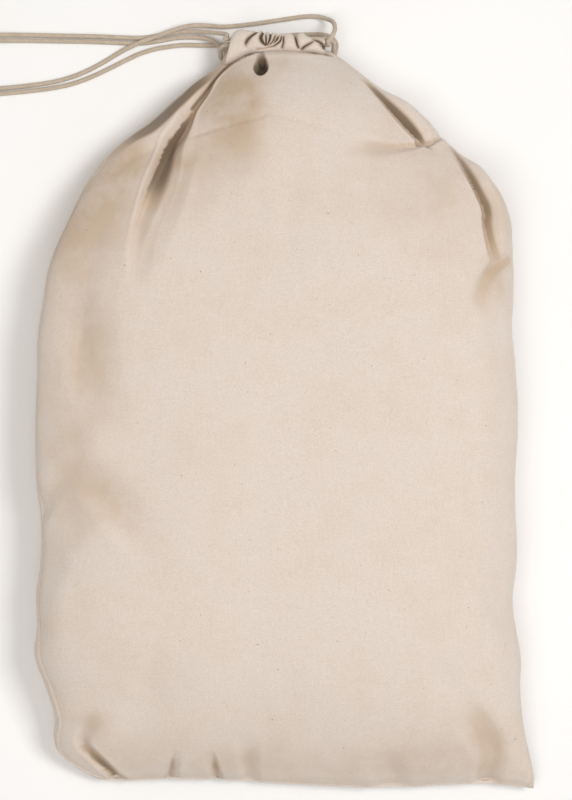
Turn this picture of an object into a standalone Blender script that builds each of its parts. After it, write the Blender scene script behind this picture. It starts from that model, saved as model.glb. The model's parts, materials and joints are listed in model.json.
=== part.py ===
"""A cotton drawstring laundry bag, lightly filled, lying on its back with its mouth drawn shut.

Metres. X runs across the bag, Y from its bottom seam to its mouth, and Z up from the surface it lies on.
The bag is cut 0.508 m wide and 0.762 m long. Two panels meet at rolled side and bottom seams. A casing, the
hem of each panel turned over, closes each half of the mouth, and two drawcords run through both casings: each
goes once round the mouth and leaves through the side slit at its own end.
"""

import math

import bmesh
import bpy
from mathutils import Vector

# Driving dimensions.
CLOTH = 0.0015  # modelled wall of a panel or casing, gathered cloth and its air included
GAP = 0.0003  # between pieces that touch
SECTION_POWER = 2.5  # a higher power gives the front squarer shoulders
BACK_POWER = 4.0
PANEL_COLUMNS = 22
PANEL_ROWS = 28
BACK_SINK = 0.003  # how far below the floor the back's round would reach; the floor flattens it
BACK_FLOOR_FROM = -0.315  # the back lies on the floor from here ...
BACK_FLOOR_TO = 0.290  # ... to here

# Sections across the filled bag: Y, left edge X, right edge X, height of the side seam, height of the front.
SECTIONS = (
    (-0.3572, -0.183, 0.2358, 0.016, 0.0185),
    (-0.3420, -0.204, 0.2336, 0.021, 0.046),
    (-0.3050, -0.217, 0.2260, 0.033, 0.080),
    (-0.2400, -0.233, 0.2200, 0.040, 0.103),
    (-0.1500, -0.232, 0.2170, 0.043, 0.113),
    (0.0000, -0.235, 0.2165, 0.044, 0.116),
    (0.0900, -0.229, 0.2150, 0.043, 0.113),
    (0.1600, -0.212, 0.2120, 0.040, 0.108),
    (0.2000, -0.195, 0.2030, 0.037, 0.101),
    (0.2500, -0.156, 0.1590, 0.032, 0.088),
    (0.2900, -0.108, 0.1110, 0.026, 0.073),
    (0.3180, -0.075, 0.0710, 0.021, 0.058),
    (0.3380, -0.055, 0.0450, 0.020, 0.047),
)
FRONT_END = 0.3368  # Y of the front panel's gathered edge
BACK_END = 0.3250  # Y of the back panel's gathered edge

# Side and bottom seams: a roll of four layers, and the thread that runs along it.
SEAM_RADIUS = 0.0020
SEAM_CLEAR = 0.0009  # from the roll to the panels above and below it
SEAM_STEP = 0.010
THREAD_RADIUS = 0.0004
THREAD_OFF = SEAM_RADIUS + THREAD_RADIUS + GAP
SEAM_TOP = 0.3230  # Y where each side seam stops and its slit starts
CORNER = 0.0060  # from a side seam to the bottom seam's end

# Casings: a flattened sleeve across the mouth, gathered into folds along X.
CASING_X = (-0.050, 0.034)
FRONT_CASING = {"y": 0.3501, "z": 0.0360, "half_y": 0.0125, "half_z": 0.0100}
BACK_CASING = {"y": 0.3372, "z": 0.0095, "half_y": 0.0110, "half_z": 0.0080}
GATHERS = 10
GATHER_DEPTH = 0.0012
CASING_RINGS = 41
CASING_SIDES = 16
CASING_POWER = 2.6

# Drawcords.
CORD_RADIUS = 0.00225
CORD_STEP = 0.011
CORD_REST = CORD_RADIUS + GAP  # height of a cord's middle where it lies on the floor
STRAND_PITCH = 0.0056  # between the two strands that share a casing
CORD_SLACK = 0.0030  # the bend stands this far out of the casing before it turns
CORD_BEND = 0.0090
CORD_END_OUT = 0.0026  # the part inside the casings ends this far outside them
BEND_STEPS = 6

# The left cord's pair of tails, from the slit to the coil.
LEFT_TAIL_FRONT = (
    (-0.0560, 0.3580, 0.0275),
    (-0.0660, 0.3605, 0.0185),
    (-0.0780, 0.3625, 0.0090),
    (-0.0900, 0.3635, 0.0040),
    (-0.1040, 0.3628, CORD_REST),
    (-0.1200, 0.3600, CORD_REST),
    (-0.1380, 0.3575, CORD_REST),
    (-0.1600, 0.3580, CORD_REST),
    (-0.1850, 0.3590, CORD_REST),
    (-0.2140, 0.3595, CORD_REST),
    (-0.2450, 0.3602, CORD_REST),
    (-0.2660, 0.3603, 0.0036),
    (-0.2816, 0.3603, 0.0045),
)
LEFT_TAIL_BACK = (
    (-0.0560, 0.3430, 0.0092),
    (-0.0630, 0.3490, 0.0082),
    (-0.0690, 0.3537, 0.0070),
    (-0.0760, 0.3566, 0.0048),
    (-0.0880, 0.3580, 0.0028),
    (-0.1040, 0.3576, CORD_REST),
    (-0.1200, 0.3548, CORD_REST),
    (-0.1380, 0.3523, CORD_REST),
    (-0.1600, 0.3528, CORD_REST),
    (-0.1850, 0.3538, CORD_REST),
    (-0.2140, 0.3543, CORD_REST),
    (-0.2450, 0.3548, CORD_REST),
    (-0.2700, 0.3548, 0.0033),
    (-0.2888, 0.3548, 0.0045),
)
COIL_AT = (-0.3070, 0.3870)
COIL_INNER = 0.0150
COIL_OUTER = 0.0345
COIL_LOW = 0.0021  # the tie passes under it
COIL_HEIGHT = 0.0048
COIL_SIDES = 40
TIE_RADIUS = 0.0006
TIE_TURN = math.radians(60)  # where the tie is, round the coil from +X

# The right cord's pair: over the mouth and behind it, then side by side to their knot.
RIGHT_TAIL_FRONT = (
    (0.0400, 0.3494, 0.0400),
    (0.0440, 0.3545, 0.0416),
    (0.0466, 0.3605, 0.0372),
    (0.0470, 0.3660, 0.0285),
    (0.0452, 0.3710, 0.0190),
    (0.0405, 0.3745, 0.0105),
    (0.0320, 0.3775, 0.0045),
    (0.0200, 0.3780, CORD_REST),
    (0.0060, 0.3762, CORD_REST),
    (-0.0100, 0.3738, CORD_REST),
    (-0.0280, 0.3712, CORD_REST),
    (-0.0450, 0.3692, CORD_REST),
    (-0.0600, 0.3680, 0.0036),
    (-0.0760, 0.3690, 0.0050),
    (-0.0920, 0.3684, 0.0076),
    (-0.1080, 0.3640, 0.0080),
    (-0.1230, 0.3586, 0.0080),
    (-0.1370, 0.3535, 0.0081),
    (-0.1500, 0.3478, 0.0068),
    (-0.1620, 0.3416, 0.0034),
    (-0.1740, 0.3345, CORD_REST),
    (-0.1880, 0.3270, CORD_REST),
    (-0.2050, 0.3200, CORD_REST),
    (-0.2240, 0.3150, CORD_REST),
    (-0.2480, 0.3115, CORD_REST),
    (-0.2740, 0.3090, CORD_REST),
    (-0.3000, 0.3072, CORD_REST),
    (-0.3250, 0.3062, CORD_REST),
)
RIGHT_TAIL_BACK = (
    (0.0415, 0.3352, 0.0060),
    (0.0460, 0.3385, 0.0032),
    (0.0480, 0.3445, CORD_REST),
    (0.0485, 0.3520, CORD_REST),
    (0.0440, 0.3580, CORD_REST),
    (0.0360, 0.3605, CORD_REST),
    (0.0220, 0.3607, CORD_REST),
    (0.0040, 0.3600, CORD_REST),
    (-0.0140, 0.3580, CORD_REST),
    (-0.0300, 0.3553, CORD_REST),
    (-0.0450, 0.3525, CORD_REST),
    (-0.0600, 0.3505, CORD_REST),
    (-0.0780, 0.3502, CORD_REST),
    (-0.0960, 0.3506, CORD_REST),
    (-0.1120, 0.3490, CORD_REST),
    (-0.1260, 0.3465, CORD_REST),
    (-0.1400, 0.3420, CORD_REST),
    (-0.1540, 0.3355, CORD_REST),
    (-0.1700, 0.3275, CORD_REST),
    (-0.1860, 0.3200, CORD_REST),
    (-0.2040, 0.3135, CORD_REST),
    (-0.2240, 0.3092, CORD_REST),
    (-0.2480, 0.3062, CORD_REST),
    (-0.2740, 0.3038, CORD_REST),
    (-0.3000, 0.3020, CORD_REST),
    (-0.3250, 0.3010, CORD_REST),
)
KNOT_SIZE = (0.0150, 0.0135, 0.0100)
RIGHT_KNOT_AT = (-0.3330, 0.3036)

# Bar tacks that stop each side slit from tearing.
TACK_SIZE = (0.0016, 0.0070, 0.0060)

MATERIALS = {
    "cotton_cloth": ((0.752, 0.665, 0.584), 0.92),
    "cord_cotton": ((0.600, 0.510, 0.410), 0.90),
    "sewing_thread": ((0.820, 0.760, 0.680), 0.80),
}


def clear_scene():
    for old in list(bpy.data.objects):
        bpy.data.objects.remove(old)


def material(name):
    """The named material, made the first time it is asked for."""
    if name in bpy.data.materials:
        return bpy.data.materials[name]
    made = bpy.data.materials.new(name)
    made.use_nodes = True
    colour, roughness = MATERIALS[name]
    shader = made.node_tree.nodes["Principled BSDF"]
    shader.inputs["Base Color"].default_value = (*colour, 1.0)
    shader.inputs["Roughness"].default_value = roughness
    shader.inputs["Metallic"].default_value = 0.0
    return made


def add_object(name, data, finish):
    made = bpy.data.objects.new(name, data)
    BAG.objects.link(made)
    data.materials.append(material(finish))
    return made


def through(points, at):
    """The value at `at` of a smooth curve through (position, value) points, which are in order."""
    last = len(points) - 1
    i = next((k for k in range(last) if at <= points[k + 1][0]), last - 1)

    def slope(k):
        a, b = points[max(k - 1, 0)], points[min(k + 1, last)]
        return (b[1] - a[1]) / (b[0] - a[0])

    (x0, y0), (x1, y1) = points[i], points[i + 1]
    span = x1 - x0
    t = (at - x0) / span
    rise = (2 * t**3 - 3 * t**2 + 1) * y0 + (3 * t**2 - 2 * t**3) * y1
    lean = (t**3 - 2 * t**2 + t) * slope(i) + (t**3 - t**2) * slope(i + 1)
    return rise + lean * span


def section(y):
    """Left edge, right edge, seam height and front height at y."""
    return tuple(through([(row[0], row[k]) for row in SECTIONS], y) for k in range(1, 5))


def squircle(angle, power):
    """A point of the unit superellipse."""
    c, s = math.cos(angle), math.sin(angle)
    return math.copysign(abs(c) ** (2 / power), c), math.copysign(abs(s) ** (2 / power), s)


def loft(name, sections, closed, finish):
    """A sheet through equal rings or rows of points, as an object with Solidify for its thickness."""
    mesh = bmesh.new()
    rows = [[mesh.verts.new(p) for p in row] for row in sections]
    around = len(rows[0]) if closed else len(rows[0]) - 1
    for low, high in zip(rows, rows[1:]):
        for k in range(around):
            n = (k + 1) % len(low)
            mesh.faces.new((low[k], low[n], high[n], high[k]))
    data = bpy.data.meshes.new(name)
    mesh.to_mesh(data)
    mesh.free()
    data.shade_smooth()
    made = add_object(name, data, finish)
    wall = made.modifiers.new("wall", "SOLIDIFY")
    wall.thickness = CLOTH
    wall.offset = -1
    return made


def rows_between(start, end):
    """Y of the panel's rows, closer together where the bag turns in at its ends."""
    turns = [math.pi * k / PANEL_ROWS for k in range(PANEL_ROWS + 1)]
    eased = [0.5 * (t / math.pi) + 0.5 * (1 - math.cos(t)) / 2 for t in turns]
    return [start + (end - start) * e for e in eased]


def front_point(angle, y):
    left, right, seam, top = section(y)
    across, up = squircle(angle, SECTION_POWER)
    edge = seam + SEAM_RADIUS + SEAM_CLEAR
    height = edge + (max(top, edge) - edge) * up
    return ((left + right) / 2 + (right - left) / 2 * across, y, height)


def back_depth(y):
    """Height that the back's middle would have without a floor."""
    _, _, seam, _ = section(y)
    edge = seam - SEAM_RADIUS - SEAM_CLEAR
    if y < BACK_FLOOR_FROM:
        t = (y - SECTIONS[0][0]) / (BACK_FLOOR_FROM - SECTIONS[0][0])
        return edge + (-BACK_SINK - edge) * math.sin(t * math.pi / 2)
    if y > BACK_FLOOR_TO:
        t = (y - BACK_FLOOR_TO) / (BACK_END - BACK_FLOOR_TO)
        return -BACK_SINK + (BACK_SINK + 0.0025) * t * t
    return -BACK_SINK


def back_point(angle, y):
    left, right, seam, _ = section(y)
    across, up = squircle(angle, BACK_POWER)
    edge = seam - SEAM_RADIUS - SEAM_CLEAR
    height = max(0.0, edge + (back_depth(y) - edge) * up)
    return ((left + right) / 2 + (right - left) / 2 * across, y, height)


def panels():
    columns = [math.pi * k / PANEL_COLUMNS for k in range(PANEL_COLUMNS + 1)]
    front = [[front_point(a, y) for a in columns] for y in rows_between(SECTIONS[0][0], FRONT_END)]
    back = [[back_point(a, y) for a in reversed(columns)] for y in rows_between(SECTIONS[0][0], BACK_END)]
    loft("front_panel", front[::-1], False, "cotton_cloth")
    loft("back_panel", back[::-1], False, "cotton_cloth")


def spline_points(route, step):
    """Points about a step apart on a smooth curve through the route's points."""
    route = [Vector(p) for p in route]
    ends = [route[0] * 2 - route[1], *route, route[-1] * 2 - route[-2]]
    found = [route[0]]
    for a, b, c, d in zip(ends, ends[1:], ends[2:], ends[3:]):
        parts = max(1, round((c - b).length / step))
        for k in range(1, parts + 1):
            t = k / parts
            found.append(
                0.5 * (2 * b + (c - a) * t + (2 * a - 5 * b + 4 * c - d) * t**2 + (3 * b - a - 3 * c + d) * t**3)
            )
    return found


def tube(name, points, radius, finish, resolution=2):
    """A round tube with flat ends along the points."""
    data = bpy.data.curves.new(name, "CURVE")
    data.dimensions = "3D"
    data.bevel_depth = radius
    data.bevel_resolution = resolution
    data.use_fill_caps = True
    spline = data.splines.new("POLY")
    spline.points.add(len(points) - 1)
    for spot, place in zip(spline.points, points):
        spot.co = (*place, 1.0)
    return add_object(name, data, finish)


def side_line(side, out):
    """The side seam's line, moved outwards from it. side is 0 for left and 1 for right."""
    start, end = SECTIONS[0][0] + CORNER, SEAM_TOP
    count = round((end - start) / SEAM_STEP)
    heights = [start + (end - start) * k / count for k in range(count + 1)]
    line = [Vector((section(y)[side], y, section(y)[2])) for y in heights]
    moved = []
    for k, place in enumerate(line):
        ahead = line[min(k + 1, count)] - line[max(k - 1, 0)]
        sideways = Vector((ahead.y, -ahead.x, 0)).normalized() * (1 if side else -1)
        moved.append(place + sideways * out)
    return moved


def bottom_line(out):
    left, right, seam, _ = section(SECTIONS[0][0])
    start, end = left + CORNER, right - CORNER
    count = round((end - start) / SEAM_STEP)
    return [Vector((start + (end - start) * k / count, SECTIONS[0][0] - out, seam)) for k in range(count + 1)]


def seams():
    for side, name in enumerate(("left", "right")):
        tube(f"{name}_side_seam", side_line(side, 0.0), SEAM_RADIUS, "cotton_cloth")
        tube(f"{name}_seam_thread", side_line(side, THREAD_OFF), THREAD_RADIUS, "sewing_thread", 0)
    beside = SEAM_RADIUS + GAP
    tube("bottom_seam", bottom_line(beside), SEAM_RADIUS, "cotton_cloth")
    tube("bottom_seam_thread", bottom_line(beside + THREAD_OFF), THREAD_RADIUS, "sewing_thread", 0)


def gathered(casing, x, angle):
    """A point of a casing's outside: its section swells and shrinks as the gathers pass along X."""
    along = (x - CASING_X[0]) / (CASING_X[1] - CASING_X[0])
    pinch = GATHER_DEPTH * (0.5 - 0.5 * math.cos(2 * math.pi * GATHERS * along))
    across, up = squircle(angle, CASING_POWER)
    return (x, casing["y"] + (casing["half_y"] - pinch) * across, casing["z"] + (casing["half_z"] - pinch) * up)


def casings():
    stations = [CASING_X[0] + (CASING_X[1] - CASING_X[0]) * k / (CASING_RINGS - 1) for k in range(CASING_RINGS)]
    turns = [2 * math.pi * k / CASING_SIDES for k in range(CASING_SIDES)]
    thread_turn = math.radians(130)
    for name, casing in (("front_casing", FRONT_CASING), ("back_casing", BACK_CASING)):
        loft(name, [[gathered(casing, x, a) for a in turns] for x in stations], True, "cotton_cloth")
        row = [Vector(gathered(casing, x, thread_turn)) for x in stations]
        lift = Vector((0, -math.sin(math.radians(40)), math.cos(math.radians(40)))) * (THREAD_RADIUS + 2 * GAP)
        tube(f"{name}_thread", [p + lift for p in row], THREAD_RADIUS, "sewing_thread", 0)


def bar_tacks():
    for side, name in enumerate(("left", "right")):
        foot = Vector((section(SEAM_TOP)[side], SEAM_TOP, section(SEAM_TOP)[2]))
        mesh = bmesh.new()
        bmesh.ops.create_cube(mesh, size=1.0)
        bmesh.ops.scale(mesh, vec=TACK_SIZE, verts=mesh.verts)
        data = bpy.data.meshes.new(f"{name}_bar_tack")
        mesh.to_mesh(data)
        mesh.free()
        made = add_object(f"{name}_bar_tack", data, "sewing_thread")
        outwards = 1 if side else -1
        made.location = foot + Vector((outwards * 0.0005, SEAM_RADIUS + TACK_SIZE[1] / 2, 0))
        soften = made.modifiers.new("round", "BEVEL")
        soften.width = 0.0004
        soften.segments = 2


def strand(casing, cord):
    """Y and Z of a strand in a casing. cord is 1 for the left cord and -1 for the right."""
    return casing["y"] + cord * STRAND_PITCH / 2, casing["z"]


def cord_core(name, cord):
    """The part of a drawcord inside the mouth: through one casing, round the far end, back through the other."""
    near, far = (CASING_X[0] - CORD_END_OUT, CASING_X[1] + CORD_SLACK)
    if cord < 0:
        near, far = (CASING_X[1] + CORD_END_OUT, CASING_X[0] - CORD_SLACK)
    outwards = math.copysign(1, far - near)
    front = Vector((0, *strand(FRONT_CASING, cord)))
    back = Vector((0, *strand(BACK_CASING, cord)))
    down = (back - front).normalized()
    points = [Vector((near, front.y, front.z))]
    for centre, first in ((front + down * CORD_BEND, 0), (back - down * CORD_BEND, 1)):
        for k in range(BEND_STEPS + 1):
            a = (first + k / BEND_STEPS) * math.pi / 2
            swing = Vector((outwards * math.sin(a), 0, 0)) - down * math.cos(a)
            points.append(Vector((far, centre.y, centre.z)) + swing * CORD_BEND)
    points.append(Vector((near, back.y, back.z)))
    return tube(name, points, CORD_RADIUS, "cord_cotton")


def cord_tail(name, casing, cord, route):
    """A tail: straight out of the casing where the core ends, then along its route."""
    y, z = strand(casing, cord)
    edge = CASING_X[0] - CORD_END_OUT if cord > 0 else CASING_X[1] + CORD_END_OUT
    straight = [(edge - math.copysign(GAP + ahead, cord), y, z) for ahead in (0, CORD_RADIUS, 2 * CORD_RADIUS)]
    return tube(name, spline_points((*straight, *route), CORD_STEP), CORD_RADIUS, "cord_cotton")


def coil(name):
    """The flat coil that the left pair is wound into, as one turned ring."""
    low, high = COIL_LOW, COIL_LOW + COIL_HEIGHT
    data = bpy.data.meshes.new(name)
    mesh = bmesh.new()
    profile = ((COIL_OUTER, high), (COIL_OUTER, low), (COIL_INNER, low), (COIL_INNER, high))
    ring = [mesh.verts.new((x, 0, z)) for x, z in profile]
    for a, b in zip(ring, ring[1:] + ring[:1]):
        mesh.edges.new((a, b))
    mesh.to_mesh(data)
    mesh.free()
    made = add_object(name, data, "cord_cotton")
    made.location = (*COIL_AT, 0)
    turn = made.modifiers.new("turn", "SCREW")
    turn.steps = turn.render_steps = COIL_SIDES
    turn.use_merge_vertices = True
    turn.merge_threshold = 0.00005
    return made


def coil_tie(name):
    """The thread loop that holds the coil, round its section at one place."""
    away = TIE_RADIUS + 2 * GAP
    sides = [(COIL_INNER - away, COIL_OUTER + away), (COIL_LOW - away, COIL_LOW + COIL_HEIGHT + away)]
    corners = [(sides[0][a], sides[1][b]) for a, b in ((0, 0), (1, 0), (1, 1), (0, 1))]
    points = [(r * math.cos(TIE_TURN), r * math.sin(TIE_TURN), z) for r, z in corners]
    made = tube(name, points, TIE_RADIUS, "sewing_thread", 1)
    made.data.splines[0].use_cyclic_u = True
    made.location = (*COIL_AT, 0)
    return made


def knot(name, place):
    """The overhand knot that joins a cord's two ends, as its outer shape."""
    mesh = bmesh.new()
    bmesh.ops.create_uvsphere(mesh, u_segments=16, v_segments=10, radius=0.5)
    bmesh.ops.scale(mesh, vec=KNOT_SIZE, verts=mesh.verts)
    data = bpy.data.meshes.new(name)
    mesh.to_mesh(data)
    mesh.free()
    made = add_object(name, data, "cord_cotton")
    made.location = place
    return made


def drawcords():
    cord_core("left_cord_core", 1)
    cord_core("right_cord_core", -1)
    cord_tail("left_cord_tail_front", FRONT_CASING, 1, LEFT_TAIL_FRONT)
    cord_tail("left_cord_tail_back", BACK_CASING, 1, LEFT_TAIL_BACK)
    cord_tail("right_cord_tail_front", FRONT_CASING, -1, RIGHT_TAIL_FRONT)
    cord_tail("right_cord_tail_back", BACK_CASING, -1, RIGHT_TAIL_BACK)
    coil("left_cord_coil")
    coil_tie("left_cord_tie")
    on_coil = COIL_LOW + COIL_HEIGHT + GAP + KNOT_SIZE[2] / 2
    knot("left_cord_knot", (COIL_AT[0] - (COIL_INNER + COIL_OUTER) / 2, COIL_AT[1], on_coil))
    knot("right_cord_knot", (*RIGHT_KNOT_AT, GAP + KNOT_SIZE[2] / 2))


clear_scene()
BAG = bpy.data.collections.new("laundry_bag")
bpy.context.scene.collection.children.link(BAG)
panels()
seams()
casings()
bar_tacks()
drawcords()
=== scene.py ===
"""Looks for the cotton laundry bag: cloth, hems, seams and drawcords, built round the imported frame.

Metres, in the frame of the CAD model: X across the bag, Y from its bottom seam to its mouth, Z up.
"""

import json
import math
import random

import bmesh
import bpy
import numpy as np
from mathutils import Vector, noise
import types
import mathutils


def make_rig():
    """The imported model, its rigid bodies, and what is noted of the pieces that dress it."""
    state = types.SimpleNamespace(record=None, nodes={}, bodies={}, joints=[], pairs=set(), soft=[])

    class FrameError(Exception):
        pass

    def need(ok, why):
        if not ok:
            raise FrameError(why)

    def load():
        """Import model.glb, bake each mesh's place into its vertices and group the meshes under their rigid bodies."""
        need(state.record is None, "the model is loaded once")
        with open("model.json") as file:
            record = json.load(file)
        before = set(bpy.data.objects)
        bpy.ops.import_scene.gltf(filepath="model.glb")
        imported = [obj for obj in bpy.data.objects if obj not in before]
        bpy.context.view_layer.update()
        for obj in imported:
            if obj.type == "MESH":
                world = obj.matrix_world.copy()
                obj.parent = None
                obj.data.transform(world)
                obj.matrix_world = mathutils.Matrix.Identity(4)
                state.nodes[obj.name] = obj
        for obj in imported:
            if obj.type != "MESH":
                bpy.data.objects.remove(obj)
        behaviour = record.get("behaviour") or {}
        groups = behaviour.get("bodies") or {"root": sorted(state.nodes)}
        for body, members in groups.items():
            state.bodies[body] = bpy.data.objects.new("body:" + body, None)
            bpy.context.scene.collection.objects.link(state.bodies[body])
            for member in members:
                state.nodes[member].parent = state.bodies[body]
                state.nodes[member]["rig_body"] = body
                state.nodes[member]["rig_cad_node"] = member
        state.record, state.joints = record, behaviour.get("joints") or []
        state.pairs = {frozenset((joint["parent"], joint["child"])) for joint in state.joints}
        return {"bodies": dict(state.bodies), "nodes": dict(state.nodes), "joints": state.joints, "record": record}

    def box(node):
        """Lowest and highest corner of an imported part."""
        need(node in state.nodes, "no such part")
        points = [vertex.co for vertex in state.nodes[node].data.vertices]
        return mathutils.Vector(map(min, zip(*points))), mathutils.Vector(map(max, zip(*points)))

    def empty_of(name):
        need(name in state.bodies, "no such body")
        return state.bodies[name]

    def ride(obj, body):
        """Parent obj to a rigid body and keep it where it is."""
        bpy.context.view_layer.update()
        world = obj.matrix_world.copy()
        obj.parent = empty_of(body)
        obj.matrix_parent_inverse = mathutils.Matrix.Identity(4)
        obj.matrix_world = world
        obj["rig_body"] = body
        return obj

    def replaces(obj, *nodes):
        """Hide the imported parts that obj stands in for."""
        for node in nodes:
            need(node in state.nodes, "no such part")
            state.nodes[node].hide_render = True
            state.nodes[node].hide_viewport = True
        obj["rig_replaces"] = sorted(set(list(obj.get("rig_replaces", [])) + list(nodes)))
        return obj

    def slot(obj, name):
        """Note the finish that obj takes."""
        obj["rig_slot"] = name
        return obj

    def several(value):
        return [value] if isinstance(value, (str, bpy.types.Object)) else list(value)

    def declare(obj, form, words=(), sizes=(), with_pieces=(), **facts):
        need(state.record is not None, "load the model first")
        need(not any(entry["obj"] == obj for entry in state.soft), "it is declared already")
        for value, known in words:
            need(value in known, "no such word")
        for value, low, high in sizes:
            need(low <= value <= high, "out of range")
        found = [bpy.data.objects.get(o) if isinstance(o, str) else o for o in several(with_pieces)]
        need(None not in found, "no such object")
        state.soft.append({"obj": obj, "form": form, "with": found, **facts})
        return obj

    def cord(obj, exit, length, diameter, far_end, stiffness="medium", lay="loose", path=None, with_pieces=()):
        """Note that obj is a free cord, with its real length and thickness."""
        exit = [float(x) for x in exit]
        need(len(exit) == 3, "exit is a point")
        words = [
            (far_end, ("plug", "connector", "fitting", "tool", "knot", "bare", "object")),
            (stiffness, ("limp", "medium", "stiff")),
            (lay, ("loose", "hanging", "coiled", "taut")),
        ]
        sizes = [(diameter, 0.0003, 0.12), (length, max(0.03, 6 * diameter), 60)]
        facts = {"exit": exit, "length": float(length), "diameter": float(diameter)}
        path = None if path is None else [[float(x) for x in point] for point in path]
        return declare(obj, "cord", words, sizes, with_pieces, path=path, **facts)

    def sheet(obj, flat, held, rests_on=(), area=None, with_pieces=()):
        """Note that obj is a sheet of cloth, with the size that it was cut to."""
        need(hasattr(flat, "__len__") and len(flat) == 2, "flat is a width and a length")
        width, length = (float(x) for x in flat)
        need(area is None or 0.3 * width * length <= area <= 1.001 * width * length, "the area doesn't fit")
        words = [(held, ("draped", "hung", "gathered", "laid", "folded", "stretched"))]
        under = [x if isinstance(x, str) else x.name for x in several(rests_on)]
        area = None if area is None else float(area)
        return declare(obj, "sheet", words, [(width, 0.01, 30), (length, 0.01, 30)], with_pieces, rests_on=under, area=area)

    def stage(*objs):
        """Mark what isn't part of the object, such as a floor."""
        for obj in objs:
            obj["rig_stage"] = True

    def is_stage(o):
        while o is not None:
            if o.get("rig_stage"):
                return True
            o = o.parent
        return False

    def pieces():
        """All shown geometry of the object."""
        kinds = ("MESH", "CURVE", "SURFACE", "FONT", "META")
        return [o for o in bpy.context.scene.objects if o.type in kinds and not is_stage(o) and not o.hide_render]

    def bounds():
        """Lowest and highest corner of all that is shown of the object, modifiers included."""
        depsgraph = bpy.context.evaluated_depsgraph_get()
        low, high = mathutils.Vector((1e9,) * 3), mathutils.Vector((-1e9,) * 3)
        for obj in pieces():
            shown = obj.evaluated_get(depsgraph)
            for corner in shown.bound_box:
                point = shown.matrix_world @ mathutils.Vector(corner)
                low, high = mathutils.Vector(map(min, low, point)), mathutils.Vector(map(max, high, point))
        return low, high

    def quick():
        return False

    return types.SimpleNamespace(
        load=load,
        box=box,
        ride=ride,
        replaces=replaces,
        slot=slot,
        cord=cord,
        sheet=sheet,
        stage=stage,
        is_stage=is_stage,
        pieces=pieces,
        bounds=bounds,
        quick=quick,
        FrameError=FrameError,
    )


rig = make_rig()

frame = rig.load()
CAD_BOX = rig.bounds()

# ---------------------------------------------------------------- driving dimensions

FLAT_WIDTH, FLAT_LENGTH = 0.508, 0.762  # each panel as cut
VIEW_CENTRE = (0.0005, 0.0099)
VIEW_HEIGHT = 0.758  # what the picture takes in, top to bottom
EYE = 3.2  # height of the camera
SENSOR = 36.0

# Outline of the filled bag from above. (Y, X), bottom to mouth.
LEFT_EDGE = (
    (-0.3585, -0.172), (-0.354, -0.186), (-0.345, -0.2), (-0.332, -0.212), (-0.318, -0.2172),
    (-0.295, -0.218), (-0.264, -0.2265), (-0.235, -0.2365), (-0.205, -0.235), (-0.179, -0.2358),
    (-0.142, -0.2322), (-0.1, -0.2326), (-0.066, -0.2365), (-0.02, -0.2372), (0.03, -0.236),
    (0.076, -0.2338), (0.105, -0.229), (0.133, -0.2245), (0.162, -0.2145), (0.19, -0.202), (0.218, -0.1868),
    (0.247, -0.1612), (0.275, -0.1268), (0.294, -0.1058), (0.309, -0.088), (0.324, -0.066),
    (0.3425, -0.0545),
)
RIGHT_EDGE = (
    (-0.3585, 0.237), (-0.35, 0.2368), (-0.34, 0.2345), (-0.322, 0.2302), (-0.293, 0.2248),
    (-0.264, 0.2218), (-0.236, 0.2224), (-0.208, 0.219), (-0.18, 0.2168), (-0.15, 0.2196), (-0.123, 0.2196),
    (-0.09, 0.217), (-0.066, 0.2164), (-0.02, 0.2194), (0.048, 0.218), (0.076, 0.2156), (0.12, 0.2168),
    (0.162, 0.2154), (0.19, 0.212), (0.218, 0.1985), (0.247, 0.164), (0.275, 0.133), (0.294, 0.1078),
    (0.309, 0.0845), (0.324, 0.064), (0.3425, 0.041),
)
# Height of the front's middle, and of the widest place of each section. (Y, Z).
CROWN = (
    (-0.3585, 0.017), (-0.354, 0.03), (-0.344, 0.046), (-0.326, 0.064), (-0.3, 0.0815), (-0.24, 0.103),
    (-0.15, 0.113), (0.0, 0.116), (0.1, 0.114), (0.16, 0.109), (0.2, 0.103), (0.25, 0.091), (0.29, 0.078),
    (0.318, 0.064), (0.332, 0.055), (0.3385, 0.048), (0.3425, 0.033),
)
WAIST = (
    (-0.3585, 0.016), (-0.344, 0.02), (-0.305, 0.033), (-0.24, 0.04), (-0.15, 0.043), (0.0, 0.044),
    (0.16, 0.04), (0.25, 0.032), (0.29, 0.026), (0.318, 0.0215), (0.3425, 0.02),
)
BOTTOM_EDGE = (  # (X, Y) of the bottom seam
    (-0.19, -0.349), (-0.16, -0.353), (-0.12, -0.352), (-0.07, -0.352), (-0.02, -0.3545), (0.04, -0.358),
    (0.105, -0.36), (0.15, -0.3575), (0.2, -0.3565), (0.225, -0.359), (0.24, -0.362),
)
FRONT_POWER, BACK_POWER = 2.75, 4.0
BACK_SINK = 0.003
FRONT_COLUMNS, BACK_COLUMNS, ROWS = 96, 72, 144
LEFT_SEAM_RISE, RIGHT_SEAM_RISE = 0.020, -0.018  # each side seam above its section's widest place

# Simulation
SIM_FRAMES = 24
SIM_CAP = 0.007
NECK_CALM, FOOT_CALM = 0.75, 0.45  # share of the simulated movement taken out again at each end
SEED = 7

# The final grids: steps between their rows, and between the front's columns
FINE_ABOVE, FINE_BELOW, FINE_STEP, COARSE_STEP = 0.13, -0.29, 0.0013, 0.0045
FOLDED = ((0.02, 0.25), (0.62, 0.90))  # shares of the front's width, from the right, that hold the folds
FINE_COLUMN, COARSE_COLUMN, FINE_BACK = 0.0012, 0.0025, 110
FLOOR_CLEAR = 0.0006
MOTTLE = ((0.120, 0.0022), (0.050, 0.0010), (0.020, 0.00028))  # size and height of the cloth's unevenness


# ---------------------------------------------------------------- curves and distances


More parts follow.
